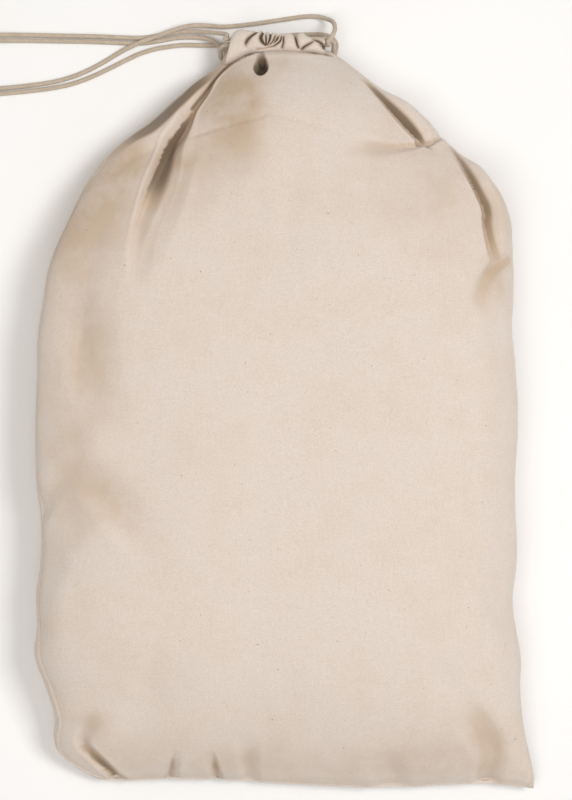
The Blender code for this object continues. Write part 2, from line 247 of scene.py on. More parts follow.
def table(points, at):
    """A smooth curve through (position, value) points, read at an array of positions."""
    px = np.array([p[0] for p in points])
    py = np.array([p[1] for p in points])
    at = np.clip(np.asarray(at, float), px[0], px[-1])
    step = np.diff(px)
    rate = np.diff(py) / step
    lean = np.empty(len(px))
    lean[1:-1] = (rate[:-1] * step[1:] + rate[1:] * step[:-1]) / (step[:-1] + step[1:])
    lean[0], lean[-1] = rate[0], rate[-1]
    i = np.clip(np.searchsorted(px, at, side="right") - 1, 0, len(px) - 2)
    t = (at - px[i]) / step[i]
    low = (2 * t**3 - 3 * t**2 + 1) * py[i] + (t**3 - 2 * t**2 + t) * step[i] * lean[i]
    return low + (3 * t**2 - 2 * t**3) * py[i + 1] + (t**3 - t**2) * step[i] * lean[i + 1]


def smooth(x, low, high):
    t = np.clip((np.asarray(x, float) - low) / (high - low), 0, 1)
    return t * t * (3 - 2 * t)


def curve_points(points, parts=6):
    """A denser list on a smooth curve through rows of numbers."""
    p = np.array(points, float)
    p = np.concatenate((p[:1] * 2 - p[1:2], p, p[-1:] * 2 - p[-2:-1]))
    out = []
    for a, b, c, d in zip(p, p[1:], p[2:], p[3:]):
        for k in range(parts):
            t = k / parts
            square = (2 * a - 5 * b + 4 * c - d) * t**2
            cube = (3 * b - a - 3 * c + d) * t**3
            out.append(0.5 * (2 * b + (c - a) * t + square + cube))
    out.append(p[-2])
    return np.array(out)


def beside(path, x, y):
    """Distance of each point from a path, positive on its left, and the path's other columns there."""
    best = np.full(x.shape, 1e9)
    side = np.ones(x.shape)
    extra = np.zeros(x.shape + (path.shape[1] - 2,))
    for a, b in zip(path, path[1:]):
        d = b[:2] - a[:2]
        t = np.clip(((x - a[0]) * d[0] + (y - a[1]) * d[1]) / max(d @ d, 1e-12), 0, 1)
        px, py = x - a[0] - t * d[0], y - a[1] - t * d[1]
        far = np.hypot(px, py)
        nearer = far < best
        best = np.where(nearer, far, best)
        side = np.where(nearer, np.where(d[0] * py - d[1] * px >= 0, 1.0, -1.0), side)
        extra = np.where(nearer[..., None], a[2:] + t[..., None] * (b[2:] - a[2:]), extra)
    return best * side, extra

# ---------------------------------------------------------------- materials


class Nodes:
    """A short way to add and join a material's nodes."""

    def __init__(self, name):
        self.material = bpy.data.materials.new(name)
        self.material.use_nodes = True
        self.tree = self.material.node_tree
        self.shader = self.tree.nodes["Principled BSDF"]

    def add(self, kind, **values):
        node = self.tree.nodes.new("ShaderNode" + kind)
        for key, value in values.items():
            if hasattr(node, key):
                setattr(node, key, value)
            else:
                node.inputs[key].default_value = value
        return node

    def join(self, source, target):
        self.tree.links.new(source, target)

    def fill(self, socket, value):
        """Links a socket to value, or sets it to value."""
        if hasattr(value, "is_output"):
            self.join(value, socket)
        elif hasattr(value, "__len__"):
            socket.default_value = (*value, 1.0)
        else:
            socket.default_value = value

    def stretched(self, source, scale):
        """Texture coordinates scaled by different amounts each way."""
        mapping = self.add("Mapping")
        mapping.inputs["Scale"].default_value = scale
        self.join(source, mapping.inputs["Vector"])
        return mapping.outputs["Vector"]

    def noise(self, coordinates, scale, detail=3.0, roughness=0.55):
        made = self.add("TexNoise", Scale=scale, Detail=detail, Roughness=roughness)
        self.join(coordinates, made.inputs["Vector"])
        return made.outputs["Fac"]

    def ramp(self, source, low, high, start=0.0, end=1.0):
        """start where source is at low, end where it is at high."""
        made = self.add("MapRange", interpolation_type="SMOOTHSTEP")
        self.join(source, made.inputs["Value"])
        for name, value in (("From Min", low), ("From Max", high), ("To Min", start), ("To Max", end)):
            made.inputs[name].default_value = value
        return made.outputs["Result"]

    def maths(self, kind, first, second):
        made = self.add("Math", operation=kind)
        self.fill(made.inputs[0], first)
        self.fill(made.inputs[1], second)
        return made.outputs["Value"]

    def mix(self, factor, first, second):
        made = self.add("Mix", data_type="RGBA")
        for name, value in (("Factor", factor), ("A", first), ("B", second)):
            self.fill(next(s for s in made.inputs if s.name == name and s.enabled), value)
        return next(s for s in made.outputs if s.enabled)

    def bump(self, height, strength, distance):
        made = self.add("Bump", Strength=strength, Distance=distance)
        self.join(height, made.inputs["Height"])
        self.join(made.outputs["Normal"], self.shader.inputs["Normal"])

    def fabric(self, sheen):
        """What is the same all over a soft matte surface."""
        self.shader.inputs["Sheen Weight"].default_value = sheen
        self.shader.inputs["Sheen Roughness"].default_value = 0.6
        self.shader.inputs["Specular IOR Level"].default_value = 0.25
        return self.material


COTTON_LIGHT = (0.795, 0.720, 0.668)
COTTON_WARM = (0.740, 0.632, 0.530)
COTTON_AGED_AND_SHADE = (0.580, 0.438, 0.312)
COTTON_SLUB = (0.870, 0.815, 0.765)
COTTON_SHADE = (0.165, 0.112, 0.067)
COTTON_SEED = (0.260, 0.170, 0.090)
THREAD_PITCH = 0.0006  # from one thread of the weave to the next
WAVE = 2 * math.pi / 20  # Blender's wave texture has 20 / (2 pi) bands to a unit


def cotton(name, aged=0.0):
    """Natural muslin: a plain weave with flecks of seed, painted brown where worn and for shade, and dark for deeper
    shade.
    """
    m = Nodes(name)
    uv = m.add("TexCoord").outputs["UV"]
    place = m.add("TexCoord").outputs["Object"]
    threads = []
    for direction in "XY":
        wave = m.add("TexWave", wave_type="BANDS", bands_direction=direction, Scale=WAVE / THREAD_PITCH)
        wave.inputs["Distortion"].default_value = 0.5
        m.join(uv, wave.inputs["Vector"])
        threads.append(wave.outputs["Fac"])
    cross = m.maths("MULTIPLY", *threads)
    along = m.noise(m.stretched(uv, (1100, 40, 1)), 1.0, 2.0)
    over = m.noise(m.stretched(uv, (40, 1100, 1)), 1.0, 2.0)
    slub = m.maths("MAXIMUM", along, over)
    cloudy = m.noise(place, 22.0, 5.0, 0.65)
    grain = m.noise(place, 620.0, 3.0, 0.8)
    # Painted brown, for wear and for shade on slopes and down in the folds.
    worn_and_shade = m.add("Attribute", attribute_name="worn_and_shade").outputs["Fac"]
    worn_and_shade = m.maths("MULTIPLY", m.maths("ADD", worn_and_shade, aged), m.ramp(cloudy, 0.30, 0.62, 0.55, 1.25))
    colour = m.mix(m.ramp(cloudy, 0.42, 0.66, 0.0, 0.36), COTTON_LIGHT, COTTON_WARM)
    colour = m.mix(m.ramp(slub, 0.52, 0.74, 0.0, 0.40), colour, COTTON_SLUB)
    colour = m.mix(worn_and_shade, colour, COTTON_AGED_AND_SHADE)
    colour = m.mix(m.ramp(grain, 0.62, 0.36, 0.0, 0.30), colour, COTTON_AGED_AND_SHADE)
    colour = m.mix(m.ramp(cross, 0.45, 0.0, 0.0, 0.22), colour, COTTON_AGED_AND_SHADE)
    fleck = m.noise(place, 330.0, 1.0)
    colour = m.mix(m.ramp(fleck, 0.775, 0.81, 0.0, 0.75), colour, COTTON_SEED)
    # Painted shade: brown, then dark, deep in the folds, the dent, the pleats and along the seams.
    painted_shade = m.add("Attribute", attribute_name="painted_shade").outputs["Fac"]
    colour = m.mix(m.ramp(painted_shade, 0.0, 0.5, 0.0, 0.75), colour, COTTON_AGED_AND_SHADE)
    colour = m.mix(m.ramp(painted_shade, 0.35, 1.0), colour, COTTON_SHADE)
    m.join(colour, m.shader.inputs["Base Color"])
    height = m.maths("ADD", m.maths("MULTIPLY", cross, 0.45), m.maths("MULTIPLY", slub, 0.8))
    height = m.maths("ADD", height, m.maths("MULTIPLY", grain, 0.6))
    m.bump(height, 0.45, 0.0005)
    m.join(m.ramp(slub, 0.3, 0.7, 0.96, 0.86), m.shader.inputs["Roughness"])
    return m.fabric(0.2)


CORD_LIGHT = (0.710, 0.625, 0.525)
CORD_DARK = (0.430, 0.335, 0.235)


def cord_cotton(name):
    """Soft cotton cord: fibres that follow the twist, with shade painted brown in the grooves between the strands."""
    m = Nodes(name)
    uv = m.add("TexCoord").outputs["UV"]
    fibres = m.noise(m.stretched(uv, (40, 420, 1)), 1.0, 3.0, 0.7)
    patches = m.noise(m.stretched(uv, (1, 30, 1)), 1.0, 3.0)
    # Painted shade in the grooves between the strands.
    groove_shade = m.add("Attribute", attribute_name="groove_shade").outputs["Fac"]
    colour = m.mix(m.ramp(fibres, 0.3, 0.7), CORD_DARK, CORD_LIGHT)
    colour = m.mix(m.ramp(patches, 0.38, 0.65, 0.30, 0.0), colour, CORD_DARK)
    colour = m.mix(m.ramp(groove_shade, 0.3, 1.0, 0.0, 0.75), colour, CORD_DARK)
    m.join(colour, m.shader.inputs["Base Color"])
    m.bump(fibres, 0.45, 0.0004)
    m.join(m.ramp(fibres, 0.3, 0.7, 0.95, 0.80), m.shader.inputs["Roughness"])
    return m.fabric(0.2)


def sewing_thread(name):
    """Spun cotton thread, a little shinier than the cloth."""
    m = Nodes(name)
    twist = m.noise(m.add("TexCoord").outputs["Object"], 2600.0, 2.0)
    m.join(m.mix(m.ramp(twist, 0.35, 0.65), COTTON_WARM, COTTON_SLUB), m.shader.inputs["Base Color"])
    m.join(m.ramp(twist, 0.3, 0.7, 0.85, 0.65), m.shader.inputs["Roughness"])
    m.bump(twist, 0.3, 0.0002)
    return m.fabric(0.1)


CLOTH = cotton("muslin")
HEM_CLOTH = cotton("muslin_hem", 0.06)
SEAM_CLOTH = cotton("muslin_seam", 0.12)
CORD = cord_cotton("cord")
THREAD = sewing_thread("thread")

# ---------------------------------------------------------------- making pieces


def piece(name, points, faces, material, uv=None):
    """A smooth-shaded mesh. uv gives a pair for each point."""
    data = bpy.data.meshes.new(name)
    data.from_pydata([tuple(p) for p in points], [], faces)
    data.update()
    data.shade_smooth()
    if uv is not None:
        layer = data.uv_layers.new(name="UVMap")
        corner = np.empty(len(data.loops), dtype=np.int32)
        data.loops.foreach_get("vertex_index", corner)
        layer.data.foreach_set("uv", np.asarray(uv, np.float32)[corner].ravel())
    data.materials.append(material)
    made = bpy.data.objects.new(name, data)
    bpy.context.scene.collection.objects.link(made)
    return made


def mark(made, name, values):
    """Gives each point of a mesh a number that its material reads."""
    layer = made.data.attributes.new(name, "FLOAT", "POINT")
    layer.data.foreach_set("value", np.asarray(values, np.float32).ravel())


def grid_faces(rows, columns, closed=False):
    """Faces between neighbouring points of a grid, each row closed into a ring or not."""
    faces = []
    for r in range(rows - 1):
        here, above = r * columns, (r + 1) * columns
        for c in range(columns if closed else columns - 1):
            n = (c + 1) % columns
            faces.append((here + c, above + c, above + n, here + n))
    return faces


def grid_piece(name, grid, across, along, material):
    """A sheet from a grid of points. across and along place its columns and rows on the flat cloth."""
    u, v = np.meshgrid(across, along)
    uv = np.stack((u, v), axis=-1).reshape(-1, 2)
    return piece(name, grid.reshape(-1, 3), grid_faces(*grid.shape[:2]), material, uv)


def settle(made, body, node, slot, *more):
    """Rides a piece on its body, in place of its CAD nodes, with its slot of the record."""
    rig.ride(made, body)
    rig.replaces(made, node, *more)
    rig.slot(made, slot)
    return made


def length_of(path):
    return sum((Vector(b) - Vector(a)).length for a, b in zip(path, path[1:]))


def even_points(path, step):
    """Points a step apart along a path, and their distances along it."""
    path = np.array([tuple(p) for p in path], float)
    along = np.concatenate(([0], np.cumsum(np.linalg.norm(np.diff(path, axis=0), axis=1))))
    at = np.linspace(0, along[-1], max(4, round(along[-1] / step)) + 1)
    return np.stack([np.interp(at, along, path[:, k]) for k in range(3)], axis=1), at


def frames_along(line):
    """Two side directions at each point of a line, without sudden turns."""
    line = [Vector(p) for p in line]
    side = None
    for k in range(len(line)):
        t = (line[min(k + 1, len(line) - 1)] - line[max(k - 1, 0)]).normalized()
        side = t.orthogonal() if side is None else side - t * side.dot(t)
        side.normalize()
        yield side, t.cross(side)


def tube(name, path, radius, material, plies=3, lay=0.0085, sides=15, relief=0.14, step=0.0011):
    """A twisted cord along a path, its plies wound round it. Also the line it follows."""
    line, at = even_points(path, step)
    blunt = 0.6 * radius
    points, uv, groove_shade = [], [], []
    for p, (a, b), s in zip(line, frames_along(line), at):
        to_end = min(s, at[-1] - s)
        end = 0.6 + 0.4 * math.sqrt(min(to_end / blunt, 1.0))
        for j in range(sides):
            turn = 2 * math.pi * j / sides
            low = 1 - abs(math.cos(plies / 2 * (turn - 2 * math.pi * s / lay))) ** 0.7
            out = a * math.cos(turn) + b * math.sin(turn)
            points.append(Vector(p) + out * radius * (1 - relief * low) * end)
            uv.append((turn / (2 * math.pi) - s / lay, s))
            groove_shade.append(low)
    count = len(line)
    faces = [tuple(reversed(f)) for f in grid_faces(count, sides, closed=True)]
    faces.append(tuple(reversed(range(sides))))
    faces.append(tuple((count - 1) * sides + j for j in range(sides)))
    made = piece(name, points, faces, material, uv)
    # How deep in a groove between the plies each point lies, for painted shade.
    mark(made, "groove_shade", groove_shade)
    return made, [tuple(p) for p in line]


def joined(name, parts):
    """One piece from several, which are used up."""
    shape = bmesh.new()
    for part in parts:
        shape.from_mesh(part.data)
    keep = parts[0]
    shape.to_mesh(keep.data)
    shape.free()
    for part in parts[1:]:
        bpy.data.objects.remove(part)
    keep.name = name
    return keep

# ---------------------------------------------------------------- camera

scene = bpy.context.scene
camera_data = bpy.data.cameras.new("camera")
camera_data.sensor_width = SENSOR
camera_data.lens = SENSOR * (EYE - 0.044) / VIEW_HEIGHT
camera = bpy.data.objects.new("camera", camera_data)
camera.location = (*VIEW_CENTRE, EYE)
scene.collection.objects.link(camera)
scene.camera = camera

# ---------------------------------------------------------------- drawcords

CORD_RADIUS = 0.00225
CASING_X = (-0.050, 0.034)
CORD_END_OUT = 0.0026
GAP = 0.0003
CORD_REST = CORD_RADIUS + GAP
STRAND_PITCH = 0.0056
CASING_MIDDLES = {"front": (0.3501, 0.0360), "back": (0.3372, 0.0095)}
COIL_AT = (-0.3070, 0.3870)
COIL_MIDDLE = 0.00475  # height of the coil's strands
COIL_TURNS, COIL_STEPS = 1.19, 44
COIL_TIGHTENS = 0.0121  # how much nearer its middle the last turn ends
COIL_CLIMB, KNOT_RADIUS = 0.0075, 0.0245  # up to the knot, and the knot's distance from the coil's middle
COIL_BAND = (0.0262, 0.0098, 0.0036)  # of the coil's section: its middle, half its width, half its height
CORD_BEND, CORD_SLACK, BEND_STEPS = 0.0090, 0.0030, 6
KNOT_SIZE = (0.00167, 0.00147, 0.0026)
KNOT_END = ((0, 0), (-0.0035, 0.0012), (-0.0065, 0.0026), (-0.0088, 0.0044))  # a cut end, out of its knot
KNOT_END_RISE = 0.0004
TIE_TURN, TIE_WRAPS = math.radians(60), 5
TIE_PITCH, TIE_RADIUS = 0.0011, 0.0005

LEFT_TAIL_FRONT = (
    (-0.056, 0.358, 0.0275), (-0.066, 0.3605, 0.0185), (-0.078, 0.3625, 0.009), (-0.09, 0.3635, 0.004),
    (-0.104, 0.3628, CORD_REST), (-0.12, 0.36, CORD_REST), (-0.138, 0.3575, CORD_REST),
    (-0.16, 0.358, CORD_REST), (-0.185, 0.359, CORD_REST), (-0.214, 0.3595, CORD_REST),
    (-0.245, 0.3602, CORD_REST), (-0.266, 0.3603, 0.0036), (-0.2816, 0.3603, 0.0045),
)
LEFT_TAIL_BACK = (
    (-0.056, 0.343, 0.0092), (-0.063, 0.349, 0.0082), (-0.069, 0.3537, 0.007), (-0.076, 0.3566, 0.0048),
    (-0.088, 0.358, 0.0028), (-0.104, 0.3576, CORD_REST), (-0.12, 0.3548, CORD_REST),
    (-0.138, 0.3523, CORD_REST), (-0.16, 0.3528, CORD_REST), (-0.185, 0.3538, CORD_REST),
    (-0.214, 0.3543, CORD_REST), (-0.245, 0.3548, CORD_REST), (-0.27, 0.3548, 0.0033),
    (-0.2888, 0.3548, 0.0045),
)
RIGHT_TAIL_FRONT = (
    (0.04, 0.3494, 0.04), (0.044, 0.3545, 0.0416), (0.0466, 0.3605, 0.0372), (0.047, 0.366, 0.0285),
    (0.0452, 0.371, 0.019), (0.0405, 0.3745, 0.0105), (0.032, 0.3775, 0.0045), (0.02, 0.378, CORD_REST),
    (0.006, 0.3762, CORD_REST), (-0.01, 0.3738, CORD_REST), (-0.028, 0.3712, CORD_REST),
    (-0.045, 0.3692, CORD_REST), (-0.06, 0.368, 0.0036), (-0.076, 0.369, 0.005), (-0.092, 0.3684, 0.0076),
    (-0.108, 0.364, 0.008), (-0.123, 0.3586, 0.008), (-0.137, 0.3535, 0.0081), (-0.15, 0.3478, 0.0068),
    (-0.162, 0.3416, 0.0034), (-0.174, 0.3345, CORD_REST), (-0.188, 0.327, CORD_REST),
    (-0.205, 0.32, CORD_REST), (-0.224, 0.315, CORD_REST), (-0.248, 0.3115, CORD_REST),
    (-0.274, 0.309, CORD_REST), (-0.3, 0.3072, CORD_REST), (-0.325, 0.3062, CORD_REST),
)
RIGHT_TAIL_BACK = (
    (0.0415, 0.3352, 0.006), (0.046, 0.3385, 0.0032), (0.048, 0.3445, CORD_REST),
    (0.0485, 0.352, CORD_REST), (0.044, 0.358, CORD_REST), (0.036, 0.3605, CORD_REST),
    (0.022, 0.3607, CORD_REST), (0.004, 0.36, CORD_REST), (-0.014, 0.358, CORD_REST),
    (-0.03, 0.3553, CORD_REST), (-0.045, 0.3525, CORD_REST), (-0.06, 0.3505, CORD_REST),
    (-0.078, 0.3502, CORD_REST), (-0.096, 0.3506, CORD_REST), (-0.112, 0.349, CORD_REST),
    (-0.126, 0.3465, CORD_REST), (-0.14, 0.342, CORD_REST), (-0.154, 0.3355, CORD_REST),
    (-0.17, 0.3275, CORD_REST), (-0.186, 0.32, CORD_REST), (-0.204, 0.3135, CORD_REST),
    (-0.224, 0.3092, CORD_REST), (-0.248, 0.3062, CORD_REST), (-0.274, 0.3038, CORD_REST),
    (-0.3, 0.302, CORD_REST), (-0.325, 0.301, CORD_REST),
)


def strand(casing, cord):
    """Y and Z of a cord's middle inside a casing. cord is 1 for the left cord and -1 for the right."""
    y, z = CASING_MIDDLES[casing]
    return y + cord * STRAND_PITCH / 2, z


def tail_path(casing, cord, route):
    """Centre line of a tail from where it leaves its casing."""
    y, z = strand(casing, cord)
    edge = CASING_X[0] - CORD_END_OUT if cord > 0 else CASING_X[1] + CORD_END_OUT
    ahead = (GAP, GAP + CORD_RADIUS, GAP + 2 * CORD_RADIUS)
    straight = [(edge - math.copysign(far, cord), y, z) for far in ahead]
    return [tuple(p) for p in curve_points((*straight, *route), 8)]


def core_path(cord):
    """Through one casing, round the far end in two quarter bends, and back through the other."""
    near, far = CASING_X[0] - CORD_END_OUT, CASING_X[1] + CORD_SLACK
    if cord < 0:
        near, far = CASING_X[1] + CORD_END_OUT, CASING_X[0] - CORD_SLACK
    outwards = math.copysign(1, far - near)
    front, back = Vector((0, *strand("front", cord))), Vector((0, *strand("back", cord)))
    down = (back - front).normalized()
    points = [Vector((near, front.y, front.z))]
    for centre, first in ((front + down * CORD_BEND, 0), (back - down * CORD_BEND, 1)):
        for k in range(BEND_STEPS + 1):
            a = (first + k / BEND_STEPS) * math.pi / 2
            swing = Vector((outwards * math.sin(a), 0, 0)) - down * math.cos(a)
            points.append(Vector((far, centre.y, centre.z)) + swing * CORD_BEND)
    points.append(Vector((near, back.y, back.z)))
    return points


def coil_turns(start):
    """The rest of a strand, wound from start round the coil and up to the knot beside it."""
    away = Vector((start[0] - COIL_AT[0], start[1] - COIL_AT[1]))
    first, radius = math.atan2(away.y, away.x), away.length
    out = []
    for k in range(1, COIL_STEPS + 1):
        share = k / COIL_STEPS
        turn = first - 2 * math.pi * COIL_TURNS * share
        climb = float(smooth(share, 0.86, 1.0))
        r = (radius - COIL_TIGHTENS * share) * (1 - climb) + KNOT_RADIUS * climb
        x, y = COIL_AT[0] + r * math.cos(turn), COIL_AT[1] + r * math.sin(turn)
        out.append((x, y, COIL_MIDDLE + COIL_CLIMB * climb))
    return out


def overhand_knot(name, centre):
    """A tight knot in both ends together, with two short cut ends out of it."""
    steps = 96
    line = []
    for k in range(steps + 1):
        t = 2 * math.pi * k / steps
        turn = (math.sin(t) + 2 * math.sin(2 * t), math.cos(t) - 2 * math.cos(2 * t), -math.sin(3 * t))
        line.append([centre[i] + KNOT_SIZE[i] * turn[i] for i in range(3)])
    parts = [tube(name, line, CORD_RADIUS * 0.96, CORD)[0]]
    for rise in (1, -1):
        height = centre[2] + rise * KNOT_END_RISE
        end = [(centre[0] + x, centre[1] + rise * y, height) for x, y in KNOT_END]
        parts.append(tube(name, curve_points(end), CORD_RADIUS * 0.92, CORD)[0])
    return joined(name, parts)


def coil_tie():
    """A thread wound round the coil's section at one place."""
    middle, across, up = COIL_BAND
    line = []
    for k in range(TIE_WRAPS * 24 + 1):
        a = 2 * math.pi * k / 24
        r = middle + across * math.copysign(abs(math.cos(a)) ** 0.7, math.cos(a))
        z = COIL_MIDDLE + up * math.copysign(abs(math.sin(a)) ** 0.7, math.sin(a))
        turn = TIE_TURN + (k / 24 - TIE_WRAPS / 2) * TIE_PITCH / middle
        line.append((COIL_AT[0] + r * math.cos(turn), COIL_AT[1] + r * math.sin(turn), z))
    return tube("cord_tie", line, TIE_RADIUS, THREAD, plies=2, lay=0.002, sides=8, step=TIE_RADIUS)[0]


for side, cord, routes in (
    ("left", 1, (LEFT_TAIL_FRONT, LEFT_TAIL_BACK)),
    ("right", -1, (RIGHT_TAIL_FRONT, RIGHT_TAIL_BACK)),
):
    body, slot = f"{side}_drawcord", f"{side}_cord"
    middle = tuple((a + b) / 2 for a, b in zip(*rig.box(f"{side}_cord_knot")))
    knot = settle(overhand_knot(f"{side}_knot", middle), body, f"{side}_cord_knot", slot)
    core = tube(f"{side}_core", core_path(cord), CORD_RADIUS, CORD)[0]
    settle(core, body, f"{side}_cord_core", slot)
    wound = ("left_cord_coil",) if side == "left" else ()
    for casing, route in zip(("front", "back"), routes):
        line = tail_path(casing, cord, route)
        if wound:
            line += coil_turns(line[-1])
        line.append(middle)
        tail, path = tube(f"{side}_tail_{casing}", line, CORD_RADIUS, CORD)
        settle(tail, body, f"{side}_cord_tail_{casing}", slot, *wound)
        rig.cord(
            tail,
            exit=path[0],
            length=round(length_of(path), 3),
            diameter=2 * CORD_RADIUS,
            far_end="knot",
            stiffness="limp",
            lay="coiled" if wound else "loose",
            path=path,
            with_pieces=(knot,),
        )
settle(coil_tie(), "left_drawcord", "left_cord_tie", "coil_tie")

# ---------------------------------------------------------------- the filled bag's shape


def cross_section(y, samples=720):
    """Closed outline of the bag at y, from its right side over the top, as X and Z."""
    left, right = float(table(LEFT_EDGE, y)), float(table(RIGHT_EDGE, y))
    top, waist = float(table(CROWN, y)), float(table(WAIST, y))
    turn = np.linspace(0, 2 * math.pi, samples, endpoint=False)
    c, s = np.cos(turn), np.sin(turn)
    power = np.where(s >= 0, FRONT_POWER, BACK_POWER)
    across = np.sign(c) * np.abs(c) ** (2 / power)
    up = np.sign(s) * np.abs(s) ** (2 / power)
    floor_to = float(smooth(y, -0.3585, -0.315) * (1 - 0.75 * smooth(y, 0.29, 0.34)))
    drop = (waist + BACK_SINK) * floor_to
    x = (left + right) / 2 + (right - left) / 2 * across
    z = np.where(s >= 0, waist + (top - waist) * up, waist + drop * up)
    return x, np.maximum(z, 0.0004)


def lap_lengths(x, z):
    """Distance round the outline to each of its points and back to the first."""
    steps = np.hypot(np.diff(np.append(x, x[0])), np.diff(np.append(z, z[0])))
    return np.concatenate(([0], np.cumsum(steps)))


def spread(x, z, start, stop, count):
    """count + 1 even points of an outline, from one distance round it to another, which may be negative."""
    along = lap_lengths(x, z)
    lap = along[-1]
    twice = np.concatenate((along[:-1] - lap, along[:-1], along[:-1] + lap))
    want = np.linspace(start, stop, count + 1)
    return np.interp(want, twice, np.tile(x, 3)), np.interp(want, twice, np.tile(z, 3))


def seam_places(x, z, waist):
    """Distances round the outline to the right seam, below the widest place, and to the left, above it."""
    along = lap_lengths(x, z)
    rise = min(1.0, (z.max() - waist) / 0.06) * min(1.0, max(waist - 0.016, 0) / 0.02)
    quarter = len(x) // 4
    below = waist + RIGHT_SEAM_RISE * rise
    right_at = np.interp(below, z[3 * quarter :], along[3 * quarter : -1]) - along[-1]
    left = slice(quarter, 2 * quarter + 1)
    left_at = np.interp(waist + LEFT_SEAM_RISE * rise, z[left][::-1], along[left][::-1])
    return right_at, left_at, along[-1]


def row_heights():
    t = np.linspace(0, 1, ROWS + 1)
    eased = 0.62 * t + 0.38 * (1 - np.cos(math.pi * t)) / 2
    return LEFT_EDGE[0][0] + (LEFT_EDGE[-1][0] - LEFT_EDGE[0][0]) * eased


def loft():
    """Grids of the front and the back, [row, column, xyz], each with columns from seam to seam."""
    front, back = [], []
    for y in row_heights():
        x, z = cross_section(y)
        waist = float(table(WAIST, y))
        right_at, left_at, lap = seam_places(x, z, waist)
        fx, fz = spread(x, z, right_at, left_at, FRONT_COLUMNS)
        bx, bz = spread(x, z, left_at, lap + right_at, BACK_COLUMNS)
        front.append(np.stack((fx, np.full_like(fx, y), fz), axis=1))
        back.append(np.stack((bx, np.full_like(bx, y), bz), axis=1))
    front, back = np.array(front), np.array(back)
    for grid in (front, back):
        near = 1 - smooth(grid[..., 1], LEFT_EDGE[0][0], LEFT_EDGE[0][0] + 0.07)
        grid[..., 1] += (table(BOTTOM_EDGE, grid[..., 0]) - LEFT_EDGE[0][0]) * near
    return front, back


def bag_mesh(front, back):
    """One closed mesh from both grids, joined along the side seams and the bottom seam."""
    rows = ROWS + 1
    ring = FRONT_COLUMNS + BACK_COLUMNS
    points = np.concatenate((front, back[:, 1:-1]), axis=1)
    faces = []
    for r in range(rows - 1):
        for k in range(ring):
            n = (k + 1) % ring
            faces.append((r * ring + k, (r + 1) * ring + k, (r + 1) * ring + n, r * ring + n))
    data = bpy.data.meshes.new("bag")
    data.from_pydata(points.reshape(-1, 3).tolist(), [], faces)
    data.update()
    return data, points


front_grid, back_grid = loft()
bag_data, bag_points = bag_mesh(front_grid, back_grid)


# ---------------------------------------------------------------- simulation of the filled cloth


def group(obj, name, weights):
    made = obj.vertex_groups.new(name=name)
    for k, w in enumerate(weights):
        if w > 0:
            made.add([k], float(w), "REPLACE")
    return name


def simulate(data, points):
    """The grid after the cloth has been blown up and has creased along its seams."""
    bag = bpy.data.objects.new("bag_sim", data)
    bpy.context.scene.collection.objects.link(bag)
    rows, ring = points.shape[:2]
    column = np.arange(ring)
    to_seam = np.minimum(np.minimum(column, ring - column), np.abs(column - FRONT_COLUMNS))
    near_seam = np.exp(-((to_seam / 7.0) ** 2))
    row = np.arange(rows)
    near_foot = np.exp(-((row / 9.0) ** 2))
    slack = np.maximum(near_seam[None, :], 0.9 * near_foot[:, None])
    held = np.zeros((rows, ring))
    held[0], held[-1], held[-2] = 1, 1, 0.8
    cloth = bag.modifiers.new("cloth", "CLOTH")
    set_up = cloth.settings
    set_up.quality = 6
    set_up.mass = 0.12
    set_up.air_damping = 2.0
    set_up.tension_stiffness = set_up.compression_stiffness = 22
    set_up.shear_stiffness = 8
    set_up.bending_stiffness = 0.06
    set_up.use_pressure = True
    set_up.uniform_pressure_force = 2.4
    set_up.vertex_group_shrink = group(bag, "slack", slack.ravel())
    set_up.shrink_min, set_up.shrink_max = -0.006, -0.05
    set_up.vertex_group_mass = group(bag, "held", held.ravel())
    set_up.effector_weights.gravity = 0
    cloth.collision_settings.use_collision = False
    cloth.point_cache.frame_end = SIM_FRAMES
    scene = bpy.context.scene
    for step in range(1, SIM_FRAMES + 1):
        scene.frame_set(step)
    shape = bag.evaluated_get(bpy.context.evaluated_depsgraph_get()).to_mesh()
    flat = np.empty(len(shape.vertices) * 3)
    shape.vertices.foreach_get("co", flat)
    scene.frame_set(1)
    bpy.data.objects.remove(bag)
    return flat.reshape(points.shape)


def capped(points, moved, cap):
    """moved, with no point further than cap from where it was."""
    shift = moved - points
    far = np.linalg.norm(shift, axis=-1, keepdims=True)
    return points + shift * (cap * np.tanh(far / cap) / np.maximum(far, 1e-9))


def softened(shift, passes):
    """Shifts of a grid whose rows close into rings, each averaged with its neighbours."""
    for _ in range(passes):
        shift = (np.roll(shift, 1, 1) + 2 * shift + np.roll(shift, -1, 1)) / 4
        wide = np.concatenate((shift[:1], shift, shift[-1:]))
        shift = (wide[:-2] + 2 * shift + wide[2:]) / 4
    return shift


def finer(grid, axis, closed):
    """The grid with a point put between each two along an axis, on a smooth curve."""
    g = np.moveaxis(grid, axis, 0)
    if closed:
        before, after, last = np.roll(g, 1, 0), np.roll(g, -1, 0), np.roll(g, -2, 0)
    else:
        before = np.concatenate((g[:1] * 2 - g[1:2], g[:-2]))
        after = g[1:]
        last = np.concatenate((g[2:], g[-1:] * 2 - g[-2:-1]))
        tail = g[-1:]
        g = g[:-1]
    between = (9 * (g + after) - before - last) / 16
    out = np.stack((g, between), axis=1).reshape(-1, *g.shape[1:])
    if not closed:
        out = np.concatenate((out, tail))
    return np.moveaxis(out, 0, axis)


def resample(grid, axis, places):
    """The grid read at fractional places along an axis."""
    low = np.clip(np.floor(places).astype(int), 0, grid.shape[axis] - 2)
    share = (places - low).reshape([-1 if k == axis else 1 for k in range(grid.ndim)])
    return np.take(grid, low, axis) * (1 - share) + np.take(grid, low + 1, axis) * share


